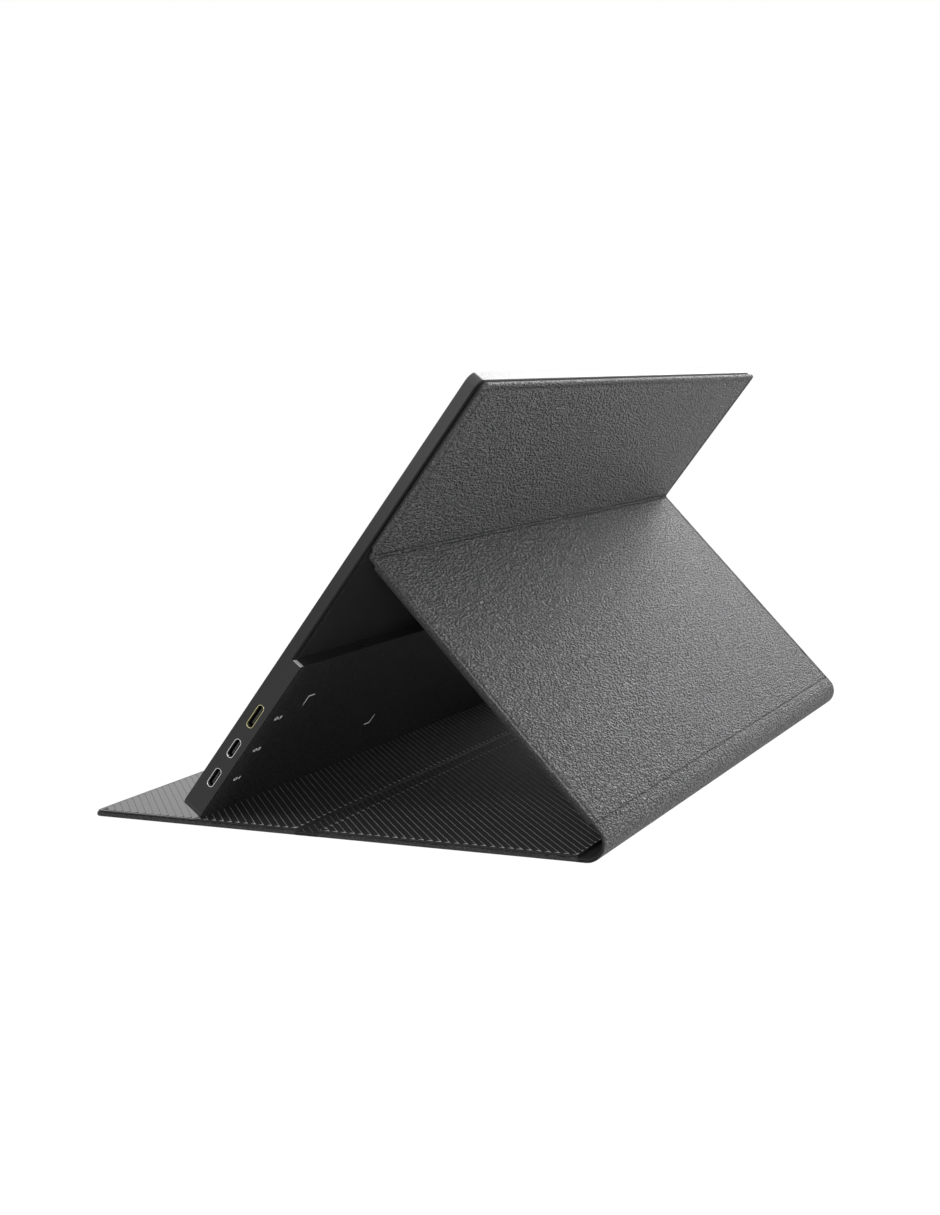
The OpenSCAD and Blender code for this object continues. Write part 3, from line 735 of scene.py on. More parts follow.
class Finishes:
    """Every finish of the object, made once and handed out by name."""

    def __init__(self) -> None:
        """Makes the materials."""
        finishes: list[Finish] = [
            PebbledLeather(),
            SatinLining(),
            # Painted light: the groove floors and rib flanks are pale behind the monitor's foot and nearly
            # black in front of it.
            SatinLining("lining_painted_light", light=(0.7, 0.7, 0.705), shares=(0.06, 1.7), duller=0.0, gloss=0.3,
                        rough=(0.5, 0.6)),
            ScreenGlass(),
            # Painted light: the frame grows lighter up the monitor.
            Coat("grey_coat", "grey_frame", (0.011, 0.011, 0.0112), (0.018, 0.018, 0.0183), 0.34, gloss=0.35,
                 high=(0.05, 0.05, 0.0505), climb=(105, 212)),
            Coat("step_end_highlight", "grey_frame", (0.4, 0.4, 0.402), (0.52, 0.52, 0.522), 0.4),
            Coat("grey_key", "grey_frame", (0.055, 0.055, 0.056), (0.075, 0.075, 0.076), 0.36),
            # Painted shade: the block's step face, under the cover, is nearly black.
            Coat("matt_black", "matte_black", (0.032, 0.032, 0.0325), (0.042, 0.042, 0.0425), 0.26,
                 relief=0.000004, gloss=0.4, dull_above=85.5),
            # Painted shade: the dark gap behind the frame's rear edge.
            Coat("bevel_shade", "grey_frame", (0.004, 0.004, 0.0042), (0.007, 0.007, 0.0072), 0.55,
                 gloss=0.15),
            Polished("gloss_black", "gloss_black", (0.035, 0.035, 0.0355), (0.043, 0.043, 0.0435), 0.2,
                     gloss=0.03),
            PrintedInk(),
            BrushedMetal("bright_silver", "bright_ring", (0.7, 0.7, 0.71), (0.88, 0.88, 0.9)),
            BrushedMetal("pale_gold", "gold_ring", (0.58, 0.54, 0.28), (0.76, 0.71, 0.4)),
            BrushedMetal("socket_steel", "socket_metal", (0.02, 0.02, 0.021), (0.045, 0.045, 0.047), 0.45),
            Coat("tongue_grey", "socket_tongue", (0.02, 0.02, 0.0205), (0.035, 0.035, 0.036), 0.5),
            Coat("grey_board", "cover_board", (0.16, 0.14, 0.11), (0.26, 0.23, 0.18), 0.8),
            BrushedMetal("magnet_nickel", "magnet", (0.45, 0.45, 0.46), (0.7, 0.7, 0.72)),
            Coat("foam_tape", "black_tape", (0.012, 0.012, 0.012), (0.03, 0.03, 0.03), 0.8, 0.0006, 0.0001),
            Polished("cell_glass", "screen_cell", (0.012, 0.014, 0.018), (0.02, 0.023, 0.028), 0.08),
            Polished("milky_film", "white_film", (0.78, 0.79, 0.8), (0.86, 0.87, 0.88), 0.3),
            BrushedMetal("tray_steel", "sheet_steel", (0.4, 0.4, 0.41), (0.6, 0.6, 0.62), 0.35),
            Coat("board_green", "circuit_board", (0.01, 0.05, 0.03), (0.02, 0.1, 0.055), 0.35),
            Coat("chip_black", "circuit_board", (0.015, 0.015, 0.016), (0.03, 0.03, 0.032), 0.5),
            Polished("amber_film", "flat_cable", (0.32, 0.14, 0.03), (0.42, 0.2, 0.05), 0.25),
        ]
        self.slots = {finish.name: finish.slot for finish in finishes}
        self.materials = {finish.name: finish.make() for finish in finishes}

    def dress(self, piece: bpy.types.Object, name: str) -> None:
        """Gives a piece its finish.

        Args:
            piece: A new piece or a node of the frame.
            name: The finish's name.
        """
        if piece.data.materials:
            for index in range(len(piece.data.materials)):
                piece.data.materials[index] = self.materials[name]
        else:
            piece.data.materials.append(self.materials[name])


FINISHES = Finishes()


# ---- Making pieces ----


Point = tuple[float, float]
Spot = tuple[Point, Point, Point]


def dress_nodes(finishes: dict[str, Sequence[str]]) -> None:
    """Gives nodes of the frame their finishes.

    Args:
        finishes: The nodes' names, by the finish's name.
    """
    for finish, nodes in finishes.items():
        for node in nodes:
            FINISHES.dress(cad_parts[node], finish)
            LOG.info("%s dressed", node)


class Ends(Enum):
    """What becomes of the two ends of a row of rings."""

    CAPPED = "capped"
    JOINED = "joined"
    OPEN = "open"


def add_object(name: str, data: bpy.types.ID) -> bpy.types.Object:
    """Adds an object to the scene."""
    made = bpy.data.objects.new(name, data)
    bpy.context.scene.collection.objects.link(made)
    return made


def as_mesh(source: bpy.types.Object) -> bpy.types.Mesh:
    """Turns an object with its modifiers into a plain mesh."""
    graph = bpy.context.evaluated_depsgraph_get()
    return bpy.data.meshes.new_from_object(source.evaluated_get(graph))


def settle(piece: bpy.types.Object, body: Body, finish: str, *nodes: str) -> None:
    """Sets a finished piece on a body, in place of the frame's nodes.

    Args:
        piece: The piece.
        body: The body that it rides on.
        finish: The name of its main finish, which has the record's slot; not used.
        nodes: The nodes that it stands for, if any.
    """
    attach(piece, body.value)
    if nodes:
        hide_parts(*nodes)
    LOG.info("%s: %d faces", piece.name, len(piece.data.polygons))


def solid(name: str, verts: Sequence[Vector], faces: Sequence[Sequence[int]], finish: str,
          marks: dict[str, Sequence[float]] | None = None) -> bpy.types.Object:
    """Makes an object from vertices in metres, at its place, with its faces turned outwards.

    Args:
        name: The piece's name.
        verts: Places in the row's frame.
        faces: Vertex numbers of each face.
        finish: The finish's name.
        marks: Numbers for the finish, one for each vertex, by name.

    Returns:
        The new object.
    """
    mesh = bpy.data.meshes.new(name)
    mesh.from_pydata([tuple(vert) for vert in verts], [], [tuple(face) for face in faces])
    for mark, values in (marks or {}).items():
        mesh.attributes.new(mark, "FLOAT", "POINT").data.foreach_set("value", list(values))
    cleaned = bmesh.new()
    cleaned.from_mesh(mesh)
    bmesh.ops.remove_doubles(cleaned, verts=cleaned.verts, dist=SAME_PLACE)
    bmesh.ops.recalc_face_normals(cleaned, faces=cleaned.faces)
    cleaned.to_mesh(mesh)
    cleaned.free()
    piece = add_object(name, mesh)
    FINISHES.dress(piece, finish)
    return piece


def smooth(piece: bpy.types.Object, degrees: float) -> None:
    """Shades a piece smooth, with edges past an angle kept sharp."""
    piece.data.shade_smooth()
    piece.data.set_sharp_from_angle(angle=math.radians(degrees))


def round_box(half: float, low: float, high: float, radius: float, steps: int = 14) -> list[Point]:
    """Draws a rectangle with round corners, centred in X.

    Args:
        half: Half the width.
        low: Lowest Y.
        high: Highest Y.
        radius: Radius of the corners, or 0.
        steps: Facets of a corner.

    Returns:
        Its points, counter-clockwise.
    """
    points: list[Point] = []
    centres = [(half - radius, low + radius, -90), (half - radius, high - radius, 0),
               (radius - half, high - radius, 90), (radius - half, low + radius, 180)]
    for x, y, first in centres:
        for step in range(steps + 1 if radius else 1):
            turn = math.radians(first + 90 * step / steps)
            points.append((x + radius * math.cos(turn), y + radius * math.sin(turn)))
    return points


def stadium(length: float, height: float) -> list[Point]:
    """Draws a slot with ends just short of half-round, centred, counter-clockwise."""
    return round_box(length / 2, -height / 2, height / 2, height / 2 - 0.001, steps=10)


def loft(rings: Sequence[Sequence[Vector]], ends: Ends = Ends.CAPPED) -> tuple[list[Vector], list[list[int]]]:
    """Joins rings of equal length into a tube.

    Args:
        rings: The rings in order.
        ends: Whether each end is closed, both are joined to each other, or both are left open.

    Returns:
        Vertices and faces.
    """
    count = len(rings[0])
    verts = [point for ring in rings for point in ring]
    faces: list[list[int]] = []
    for i in range(len(rings) if ends is Ends.JOINED else len(rings) - 1):
        a, b = i * count, (i + 1) % len(rings) * count
        for j in range(count):
            k = (j + 1) % count
            faces.append([a + j, a + k, b + k, b + j])
    if ends is Ends.CAPPED:
        faces.append(list(range(count)))
        faces.append([len(verts) - 1 - j for j in range(count)])
    return verts, faces


def joined(pieces: Sequence[bpy.types.Object]) -> bpy.types.Object:
    """Joins pieces that don't touch into the first one.

    Args:
        pieces: The pieces; all but the first are used up.

    Returns:
        The first piece.
    """
    mesh = bmesh.new()
    for piece in pieces:
        mesh.from_mesh(piece.data)
    mesh.to_mesh(pieces[0].data)
    mesh.free()
    for piece in pieces[1:]:
        bpy.data.objects.remove(piece)
    return pieces[0]


def cut(piece: bpy.types.Object, cutter: bpy.types.Object, operation: str = "DIFFERENCE") -> None:
    """Cuts one solid with another and deletes the cutter.

    Args:
        piece: The solid that stays.
        cutter: The solid that is used up.
        operation: DIFFERENCE or UNION.
    """
    step = piece.modifiers.new("cut", "BOOLEAN")
    step.operation = operation
    step.solver = "MANIFOLD"
    step.object = cutter
    made = as_mesh(piece)
    piece.modifiers.remove(step)
    piece.data = made
    bpy.data.objects.remove(cutter)


# ---- Cover ----


class Layer(Enum):
    """Layers of the cover that are seen."""

    LEATHER = "leather"
    LINING = "lining"


@dataclass(frozen=True)
class Panel:
    """A boarded stretch of the cover, in millimetres along the path."""

    start: float
    end: float
    free_start: bool = False
    free_end: bool = False

    def inside(self, u: float, soften: float) -> float:
        """Tells how far a place lies on the board.

        Args:
            u: Distance along the path.
            soften: Length over which the board's edge rounds off.

        Returns:
            1 on the board and 0 beside it.
        """
        rise = 1.0 if self.free_start else smooth_step(self.start - soften, self.start, u)
        return rise * (1.0 if self.free_end else 1 - smooth_step(self.end, self.end + soften, u))


@dataclass(frozen=True)
class Groove:
    """A line pressed across the cover: its place on the path, half its width and its depth."""

    place: float
    width: float
    depth: float


@dataclass(frozen=True)
class RibbedZone:
    """A ribbed stretch of the lining, in millimetres along the path, and the depth of its ribs' tops."""

    start: float
    end: float
    depth: float


@dataclass(frozen=True)
class CoverSection:
    """One piece of a layer that bends over one joint."""

    name: str
    start: float
    end: float
    bodies: tuple[Body, Body]
    bend_start: Point
    bend_end: Point
    nodes: tuple[str, ...]


@dataclass
class Cover:
    """The folding cover: grained leather outside and ribbed lining inside.

    Sizes are in millimetres. The valley runs along the outline of the middle and the upper panel, valley_at
    from it, and its painted shade is darker on the upper one. A strip of seam_w inside each edge of the
    base's soft zone has no ribs. The mesh is divided at the places in cross, inwards from every edge, and at
    lines on both sides of the boards' ends, the grooves and the fold, each given by a step and a count.
    """

    stand: Stand = STAND
    path: CoverPath = PATH
    rim: float = 0.55
    lining_rim: float = 0.5
    rim_depth: float = 0.97
    least_t: float = 0.02
    soften: float = 0.9
    turned_soften: float = 0.15
    valley_at: float = 3.2
    valley_w: float = 1.9
    valley_d: float = 0.28
    spine_line: float = 2.6
    lining_inset: float = 0.6
    rib_h: float = 0.08
    rib_w: float = 2.9
    rib_pitch: float = 3.9
    rib_slope: float = 40
    rib_border: float = 1.7
    painted_light_border: float = 1.9
    seam_w: float = 1.2
    same_line: float = 0.01
    base_split: float = 0.72
    base_bend: float = 0.6
    spine_bend: float = 2.4
    fold_bend: float = 1.6
    press_fade: float = 1.2
    valley_shade: tuple[float, float] = (0.85, 0.45)
    groove_shade: float = 3
    plain_w: tuple[float, float] = (0.3, 1.3)
    plain_share: float = 0.7
    rim_shade_w: tuple[float, float] = (0.9, 1.8)
    cross: tuple[float, ...] = (0, 0.04, 0.14, 0.32, 0.6, 0.9, 1.4, 1.8, 2.0, 2.2, 2.6, 2.9, 3.2, 3.6, 4.0,
                                4.4, 4.8, 5.2, 7, 10)
    board_lines: tuple[float, int] = (0.3, 8)
    groove_lines: tuple[float, int] = (0.15, 7)
    fold_lines: tuple[float, int] = (0.4, 12)
    soft_spans: int = 16
    soft_lines: int = 18
    spine_spans: int = 30
    turn_spans: int = 8
    long_span: float = 5
    least_span: float = 0.035
    wide_spans: int = 30

    def __post_init__(self) -> None:
        """Finds the boards, the grooves and the ribbed stretches along the path."""
        stand, path = self.stand, self.path
        soft = stand.base_soft / 2
        fold = path.spine_end + stand.middle_l
        self.fold_line = fold - stand.fold_soft
        self.panels = [
            Panel(0, stand.base_fold - soft, free_start=True),
            Panel(stand.base_fold + soft, stand.base_l - stand.spine_soft),
            Panel(path.spine_end + stand.spine_soft, self.fold_line - stand.lining_t - stand.board_gap),
            Panel(fold + stand.fold_soft - stand.crease_gap, path.end, free_end=True),
        ]
        self.grooves = [
            Groove(path.spine_end + self.spine_line, 0.9, 0.27),
            Groove(self.fold_line, 0.6, 0.1),
            Groove((path.fold_start + path.fold_end) / 2, 1.3, 0.34),
            Groove(stand.base_l - self.spine_line, 0.9, 0.22),
            Groove(stand.base_fold, 0.9, 0.22),
        ]
        self.zones = self.ribbed_zones()

    def boarded(self, u: float) -> float:
        """Gives 1 where the cover holds a board and 0 where it is soft."""
        return max(panel.inside(u, self.soften) for panel in self.panels)

    def edge(self, x: float, u: float, half: float, inset: float) -> float:
        """Measures the distance to a layer's outline.

        Args:
            x: Distance along the width.
            u: Distance along the path.
            half: Half the layer's width.
            inset: How far its free ends lie inside the leather's.

        Returns:
            The distance in millimetres.
        """
        radius = self.stand.corner_r - inset
        side = half - abs(x)
        end = min(u - inset, self.path.end - inset - u)
        if side < radius and end < radius:
            return radius - math.hypot(radius - side, radius - end)
        return min(side, end)

    def emboss_at(self, x: float, u: float) -> float:
        """Gives how far the leather's outer face is pressed in at a place."""
        near = self.edge(x, u, self.stand.width / 2, 0)
        relief = 0.0
        if u > self.path.spine_end:
            relief = self.valley_d * self.hollow(near - self.valley_at, self.valley_w)
        for groove in self.grooves:
            relief += groove.depth * self.hollow(u - groove.place, groove.width)
        return relief * smooth_step(0, self.press_fade, near)

    def hollow(self, off: float, width: float) -> float:
        """Gives 1 in the middle of a rounded hollow and 0 past its width on either side."""
        return max(0.0, 1 - (off / width) ** 2) ** 2

    def rounding(self, distance: float, rim: float) -> float:
        """Gives the share of half the thickness that the rim takes off at a distance from the edge."""
        off = max(0.0, rim - distance) / rim
        return self.rim_depth * (1 - math.sqrt(max(0.0, 1 - off * off)))

    def leather_faces(self, x: float, u: float) -> tuple[float, float]:
        """Gives the depths of the leather's two faces."""
        stand = self.stand
        near = self.edge(x, u, stand.width / 2, 0)
        turned = 1 - smooth_step(stand.turned_edge, stand.turned_edge + self.turned_soften, near)
        thick = stand.skin_t + stand.board_t * turned * self.boarded(u)
        off = self.rounding(near, self.rim) * thick / 2
        outer = self.emboss_at(x, u) + off
        return outer, max(thick - off, outer + self.least_t)

    def lining_faces(self, x: float, u: float) -> tuple[float, float]:
        """Gives the depths of the lining's two faces."""
        stand = self.stand
        half = stand.width / 2 - self.lining_inset
        near = self.edge(x, u, half, self.lining_inset)
        low = stand.skin_t + stand.board_t * self.boarded(u)
        thick = stand.lining_t - self.rib_h * smooth_step(0.5, 1.1, near)
        off = self.rounding(near, self.lining_rim) * thick / 2
        return low + off, low + thick - off

    def lines(self, start: float, end: float) -> list[float]:
        """Chooses where the mesh is divided along the path.

        Args:
            start: First line.
            end: Last line.

        Returns:
            The lines in order.
        """
        def around(middle: float, step: float, count: int) -> set[float]:
            """Gives lines at even steps on both sides of a place."""
            return {middle + step * index for index in range(-count, count + 1)}

        path, stand = self.path, self.stand
        lines = {start, end}
        for inset in (0.0, self.lining_inset):
            for off in self.cross:
                lines |= {inset + off, path.end - inset - off}
        for panel in self.panels:
            lines |= around(panel.start, *self.board_lines) | around(panel.end, *self.board_lines)
        for groove in self.grooves:
            lines |= around(groove.place, *self.groove_lines)
        lines |= around(stand.base_fold, stand.base_soft / 2 / self.soft_spans, self.soft_lines)
        spine = path.spine_end - stand.base_l
        lines |= {stand.base_l + spine * step / self.spine_spans for step in range(self.spine_spans + 1)}
        turn = path.fold_end - path.fold_start
        lines |= {path.fold_start + turn * step / self.turn_spans for step in range(self.turn_spans + 1)}
        lines |= around(path.fold_end - turn / 2, *self.fold_lines)
        lines |= {self.long_span * step for step in range(int(path.end / self.long_span) + 1)}
        kept: list[float] = []
        for line in sorted(line for line in lines if start <= line <= end):
            if not kept or line - kept[-1] > self.least_span or line == end:
                kept.append(line)
        return kept

    def layer_mesh(self, section: CoverSection, layer: Layer) -> tuple[list, list, dict[str, list[float]]]:
        """Builds a layer's stretch as a closed shell.

        Args:
            section: The stretch.
            layer: Leather or lining.

        Returns:
            Vertices, faces and the finish's marks.
        """
        lining = layer is Layer.LINING
        inset = self.lining_inset if lining else 0.0
        faces_at = self.lining_faces if lining else self.leather_faces
        numbers_at = self.plain_at if lining else self.marks_at
        half = self.stand.width / 2 - inset
        radius = self.stand.corner_r - inset
        rings: list[list[Vector]] = []
        marks: dict[str, list[float]] = {"bare": [], "line": [], "rim": []}
        for u in self.lines(max(section.start, inset), min(section.end, self.path.end - inset)):
            off = max(0.0, radius - min(u - inset, self.path.end - inset - u))
            side = half - (radius - math.sqrt(max(0.0, radius * radius - off * off)))
            inner = side - self.cross[-1]
            xs = [-side + step for step in self.cross]
            xs += [-inner + 2 * inner * step / self.wide_spans for step in range(1, self.wide_spans)]
            xs += [side - step for step in reversed(self.cross)]
            depths = [faces_at(x, u) for x in xs]
            outer, back = ([self.path.place(x, u, depth[face]) for x, depth in zip(xs, depths)]
                           for face in (0, 1))
            rings.append(outer + back[::-1])
            for name, values in zip(marks, zip(*(numbers_at(x, u) for x in xs + xs[::-1]))):
                marks[name].extend(values)
        verts, faces = loft(rings, Ends.OPEN)
        count = len(rings[0])
        for first in (0, len(verts) - count):
            last = first + count - 1
            faces += [[first + j, first + j + 1, last - j - 1, last - j] for j in range(count // 2 - 1)]
        return verts, faces, marks

    def marks_at(self, x: float, u: float) -> tuple[float, float, float]:
        """Gives how bare of grain the leather is at a place, the painted shade of its dark lines, and the
        painted shade on the rims below the fold.
        """
        near = self.edge(x, u, self.stand.width / 2, 0)
        upper = u > self.path.fold_end
        bare = self.plain_share * (1 - smooth_step(*self.plain_w, near))
        line = 0.0
        if u >= self.path.spine_end:
            # Painted shade in the valley and the grooves.
            line = self.valley_shade[0 if upper else 1] * self.hollow(near - self.valley_at, self.valley_w)
        for groove in self.grooves:
            dark = min(1.0, groove.depth * self.groove_shade)
            line = max(line, dark * self.hollow(u - groove.place, groove.width))
        return bare, line, 0.0 if upper else 1 - smooth_step(*self.rim_shade_w, near)

    def plain_at(self, x: float, u: float) -> tuple[float, float, float]:
        """Gives the lining's marks at a place; the last is 1 where the lining keeps its satin colour and 0
        where it takes the painted light of the groove floors.
        """
        seam, more = self.panels[1].start, self.same_line
        zones = [*self.zones[:-1], RibbedZone(seam - self.seam_w, seam, 0.0)]
        painted_light_zone = any(zone.start - more <= u <= zone.end + more for zone in zones)
        near = self.edge(x, u, self.stand.width / 2, 0)
        return 0.0, 0.0, float(not painted_light_zone or near < self.painted_light_border)

    def ribbed_zones(self) -> list[RibbedZone]:
        """Lists the ribbed stretches of the lining, with the soft fold of the base as the last."""
        stand, path = self.stand, self.path
        soft = stand.base_soft / 2 - self.seam_w
        edge = self.lining_inset + self.rib_border
        front, rear, middle, top = self.panels
        ends = [(edge, front.end), (rear.start, self.split_base), (self.split_base, rear.end),
                (middle.start, self.split_middle), (self.split_middle, middle.end),
                (top.start, path.end - edge)]
        zones = [RibbedZone(start, end, stand.cover_t) for start, end in ends]
        return [*zones, RibbedZone(stand.base_fold - soft, stand.base_fold + soft, stand.soft_t)]

    @property
    def split_base(self) -> float:
        """Place on the base where two sections of a layer meet."""
        return self.stand.base_l * self.base_split

    @property
    def split_middle(self) -> float:
        """Place on the middle panel where two sections of a layer meet."""
        return self.path.spine_end + self.stand.middle_l / 2

    def ribs(self, zone: RibbedZone) -> tuple[list[Vector], list[list[int]], list[int]]:
        """Lays ribs on one stretch of the lining with Geometry Nodes.

        Args:
            zone: The stretch.

        Returns:
            Vertices on the standing cover, faces, and 1 for each long flank of a rib or 0 for any other face.
        """
        sizes: dict[str, float] = {
            "Half Width": self.stand.width / 2 - self.lining_inset - self.rib_border,
            "Start": zone.start,
            "End": zone.end,
            "Pitch": self.rib_pitch,
            "Slope": math.radians(self.rib_slope),
            "Rib Width": self.rib_w,
            "Rib Height": self.rib_h,
            "Level": zone.depth - self.rib_h,
        }
        flat = RibTree().run(sizes)
        verts = [self.path.place(*vert.co) for vert in flat.vertices]
        faces = [list(face.vertices) for face in flat.polygons]
        run = Vector((math.cos(sizes["Slope"]), math.sin(sizes["Slope"]), 0))
        sides = [int(abs(face.normal.z) < 0.9 and abs(face.normal.dot(run)) < 0.5) for face in flat.polygons]
        bpy.data.meshes.remove(flat)
        return verts, faces, sides

    def sections(self) -> list[CoverSection]:
        """Lists the three stretches that each layer is made of, with the joint that each one crosses."""
        stand, path = self.stand, self.path
        middle, reach = stand.base_fold - stand.depth / 2, stand.base_soft / 2 * self.base_bend
        crease, top, before, after = (path.place(0, u, 0) / MM for u in (
            stand.base_l, path.spine_end, self.fold_line - self.fold_bend, self.fold_line + self.fold_bend))
        rise = (top - crease).normalized() * self.spine_bend
        low, high = crease + rise, top - rise
        return [
            CoverSection("front", 0, self.split_base, (Body.BASE_FRONT, Body.BASE_REAR),
                         (middle - reach, 0), (middle + reach, 0), ("base_front",)),
            CoverSection("spine", self.split_base, self.split_middle, (Body.BASE_REAR, Body.MIDDLE),
                         (low.y, low.z), (high.y, high.z), ("base_rear", "lower", "upper")),
            CoverSection("top", self.split_middle, path.end, (Body.MIDDLE, Body.TOP),
                         (before.y, before.z), (after.y, after.z), ("middle", "fold", "top")),
        ]

    def build(self) -> None:
        """Makes both layers, one piece for each joint that they cross."""
        words = {Layer.LEATHER: "skin", Layer.LINING: "lining"}
        for layer, finish in ((Layer.LEATHER, "pebbled_leather"), (Layer.LINING, "satin_lining")):
            for section in self.sections():
                verts, faces, marks = self.layer_mesh(section, layer)
                piece = solid(f"{layer.value}_{section.name}", verts, faces, finish, marks)
                smooth(piece, 35)
                if layer is Layer.LINING:
                    self.add_ribs(piece, section)
                word = words[layer]
                names = {"lower": f"spine_{word}_lower", "upper": f"spine_{word}_upper"}
                nodes = [names.get(node, f"{node}_{word}") for node in section.nodes]
                first, last = section.bodies
                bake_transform(piece, first.value, last.value,
                         start=(0, *(size * MM for size in section.bend_start)),
                         end=(0, *(size * MM for size in section.bend_end)))
                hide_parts(*nodes)
                LOG.info("%s: %d faces", piece.name, len(piece.data.polygons))
        dress_nodes({
            "grey_board": [f"{panel}_board" for panel in ("base_front", "base_rear", "middle", "top")],
            "magnet_nickel": ("top_magnets",),
        })

    def add_ribs(self, piece: bpy.types.Object, section: CoverSection) -> None:
        """Adds the ribs of a section's stretches to its lining.

        Args:
            piece: The lining's piece.
            section: The stretch that it covers.
        """
        # The groove floors and rib flanks take the painted light.
        piece.data.materials.append(FINISHES.materials["lining_painted_light"])
        mesh = bmesh.new()
        mesh.from_mesh(piece.data)
        rim = mesh.verts.layers.float["rim"]
        for face in mesh.faces:
            face.material_index = int(all(vert[rim] < 0.5 for vert in face.verts))
        for zone in self.zones:
            if section.start - self.same_line <= zone.start and zone.end <= section.end + self.same_line:
                verts, faces, sides = self.ribs(zone)
                made = [mesh.verts.new(vert) for vert in verts]
                laid = [mesh.faces.new([made[i] for i in face]) for face in faces]
                bmesh.ops.recalc_face_normals(mesh, faces=laid)
                for face, side in zip(laid, sides):
                    face.material_index = side
        mesh.to_mesh(piece.data)
        mesh.free()


class RibTree(NodeTree):
    """Geometry Nodes that lay parallel slanting ribs on a rectangle."""

    SUNK = -0.45
    INPUTS = ("Half Width", "Start", "End", "Pitch", "Slope", "Rib Width", "Rib Height", "Level")

    def __init__(self) -> None:
        """Builds the node group."""
        self.group = bpy.data.node_groups.new("slanting_ribs", "GeometryNodeTree")
        super().__init__(self.group)
        face = self.group.interface
        self.sockets = {name: face.new_socket(name, in_out="INPUT", socket_type="NodeSocketFloat")
                        for name in self.INPUTS}
        self.finish = face.new_socket("Finish", in_out="INPUT", socket_type="NodeSocketMaterial")
        face.new_socket("Geometry", in_out="OUTPUT", socket_type="NodeSocketGeometry")
        given = self.group.nodes.new("NodeGroupInput")
        half, start, end, pitch, slope, width, height, level = (
            Value(self, given.outputs[name]) for name in self.INPUTS)
        reach = half * slope.of("TANGENT")
        first = ((start - reach) / pitch).of("CEIL")
        count = ((end + reach) / pitch).of("FLOOR") - first + 1
        crossing = (self.node("GeometryNodeInputIndex") + first) * pitch
        left = (0 - half).greatest((start - crossing) / slope.of("TANGENT"))
        right = half.least((end - crossing) / slope.of("TANGENT"))
        length = (right - left) / slope.of("COSINE")
        place = self.node("ShaderNodeCombineXYZ", None,
                          {"X": left, "Y": crossing + left * slope.of("TANGENT"), "Z": level})
        points = self.node("GeometryNodePoints", None, {"Count": count, "Position": place})
        turn = self.node("FunctionNodeEulerToRotation", None,
                         {0: self.node("ShaderNodeCombineXYZ", None, {"Z": slope})})
        scale = self.node("ShaderNodeCombineXYZ", None, {"X": length, "Y": 1.0, "Z": 1.0})
        laid = self.node("GeometryNodeInstanceOnPoints", None,
                         {"Points": points, "Selection": length > width, "Instance": self.rib(width, height),
                          "Rotation": turn, "Scale": scale})
        real = self.node("GeometryNodeRealizeInstances", None, {"Geometry": laid})
        done = self.node("GeometryNodeSetMaterial", None,
                         {"Geometry": real, "Material": Value(self, given.outputs["Finish"])})
        self.node("NodeGroupOutput", None, {"Geometry": done})

    def rib(self, width: Value, height: Value) -> Value:
        """Draws one rib of unit length with a flat top and sloping flanks."""
        line = self.node("GeometryNodeCurvePrimitiveLine", None, {"Start": (0, 0, 0), "End": (1, 0, 0)})
        spine = self.node("GeometryNodeResampleCurve", None, {"Curve": line, "Count": 12})
        sizes = {"Bottom Width": width - height, "Top Width": width, "Height": height, "Offset": 0.0}
        profile = self.node("GeometryNodeCurvePrimitiveQuadrilateral", {"mode": "TRAPEZOID"}, sizes)
        shift = self.node("ShaderNodeCombineXYZ", None, {"Y": height * self.SUNK})
        lifted = self.node("GeometryNodeTransform", None, {"Geometry": profile, "Translation": shift})
        return self.node("GeometryNodeCurveToMesh", None,
                         {"Curve": spine, "Profile Curve": lifted, "Fill Caps": True})

    def run(self, sizes: dict[str, float]) -> bpy.types.Mesh:
        """Runs the nodes once.

        Args:
            sizes: Values of the named inputs.

        Returns:
            A plain mesh of the ribs.
        """
        holder = add_object("ribs", bpy.data.meshes.new("ribs"))
        step = holder.modifiers.new("ribs", "NODES")
        step.node_group = self.group
        for name, size in sizes.items():
            step[self.sockets[name].identifier] = float(size)
        step[self.finish.identifier] = FINISHES.materials["satin_lining"]
        made = as_mesh(holder)
        holder.modifiers.remove(step)
        bpy.data.objects.remove(holder)
        return made


# ---- Monitor ----


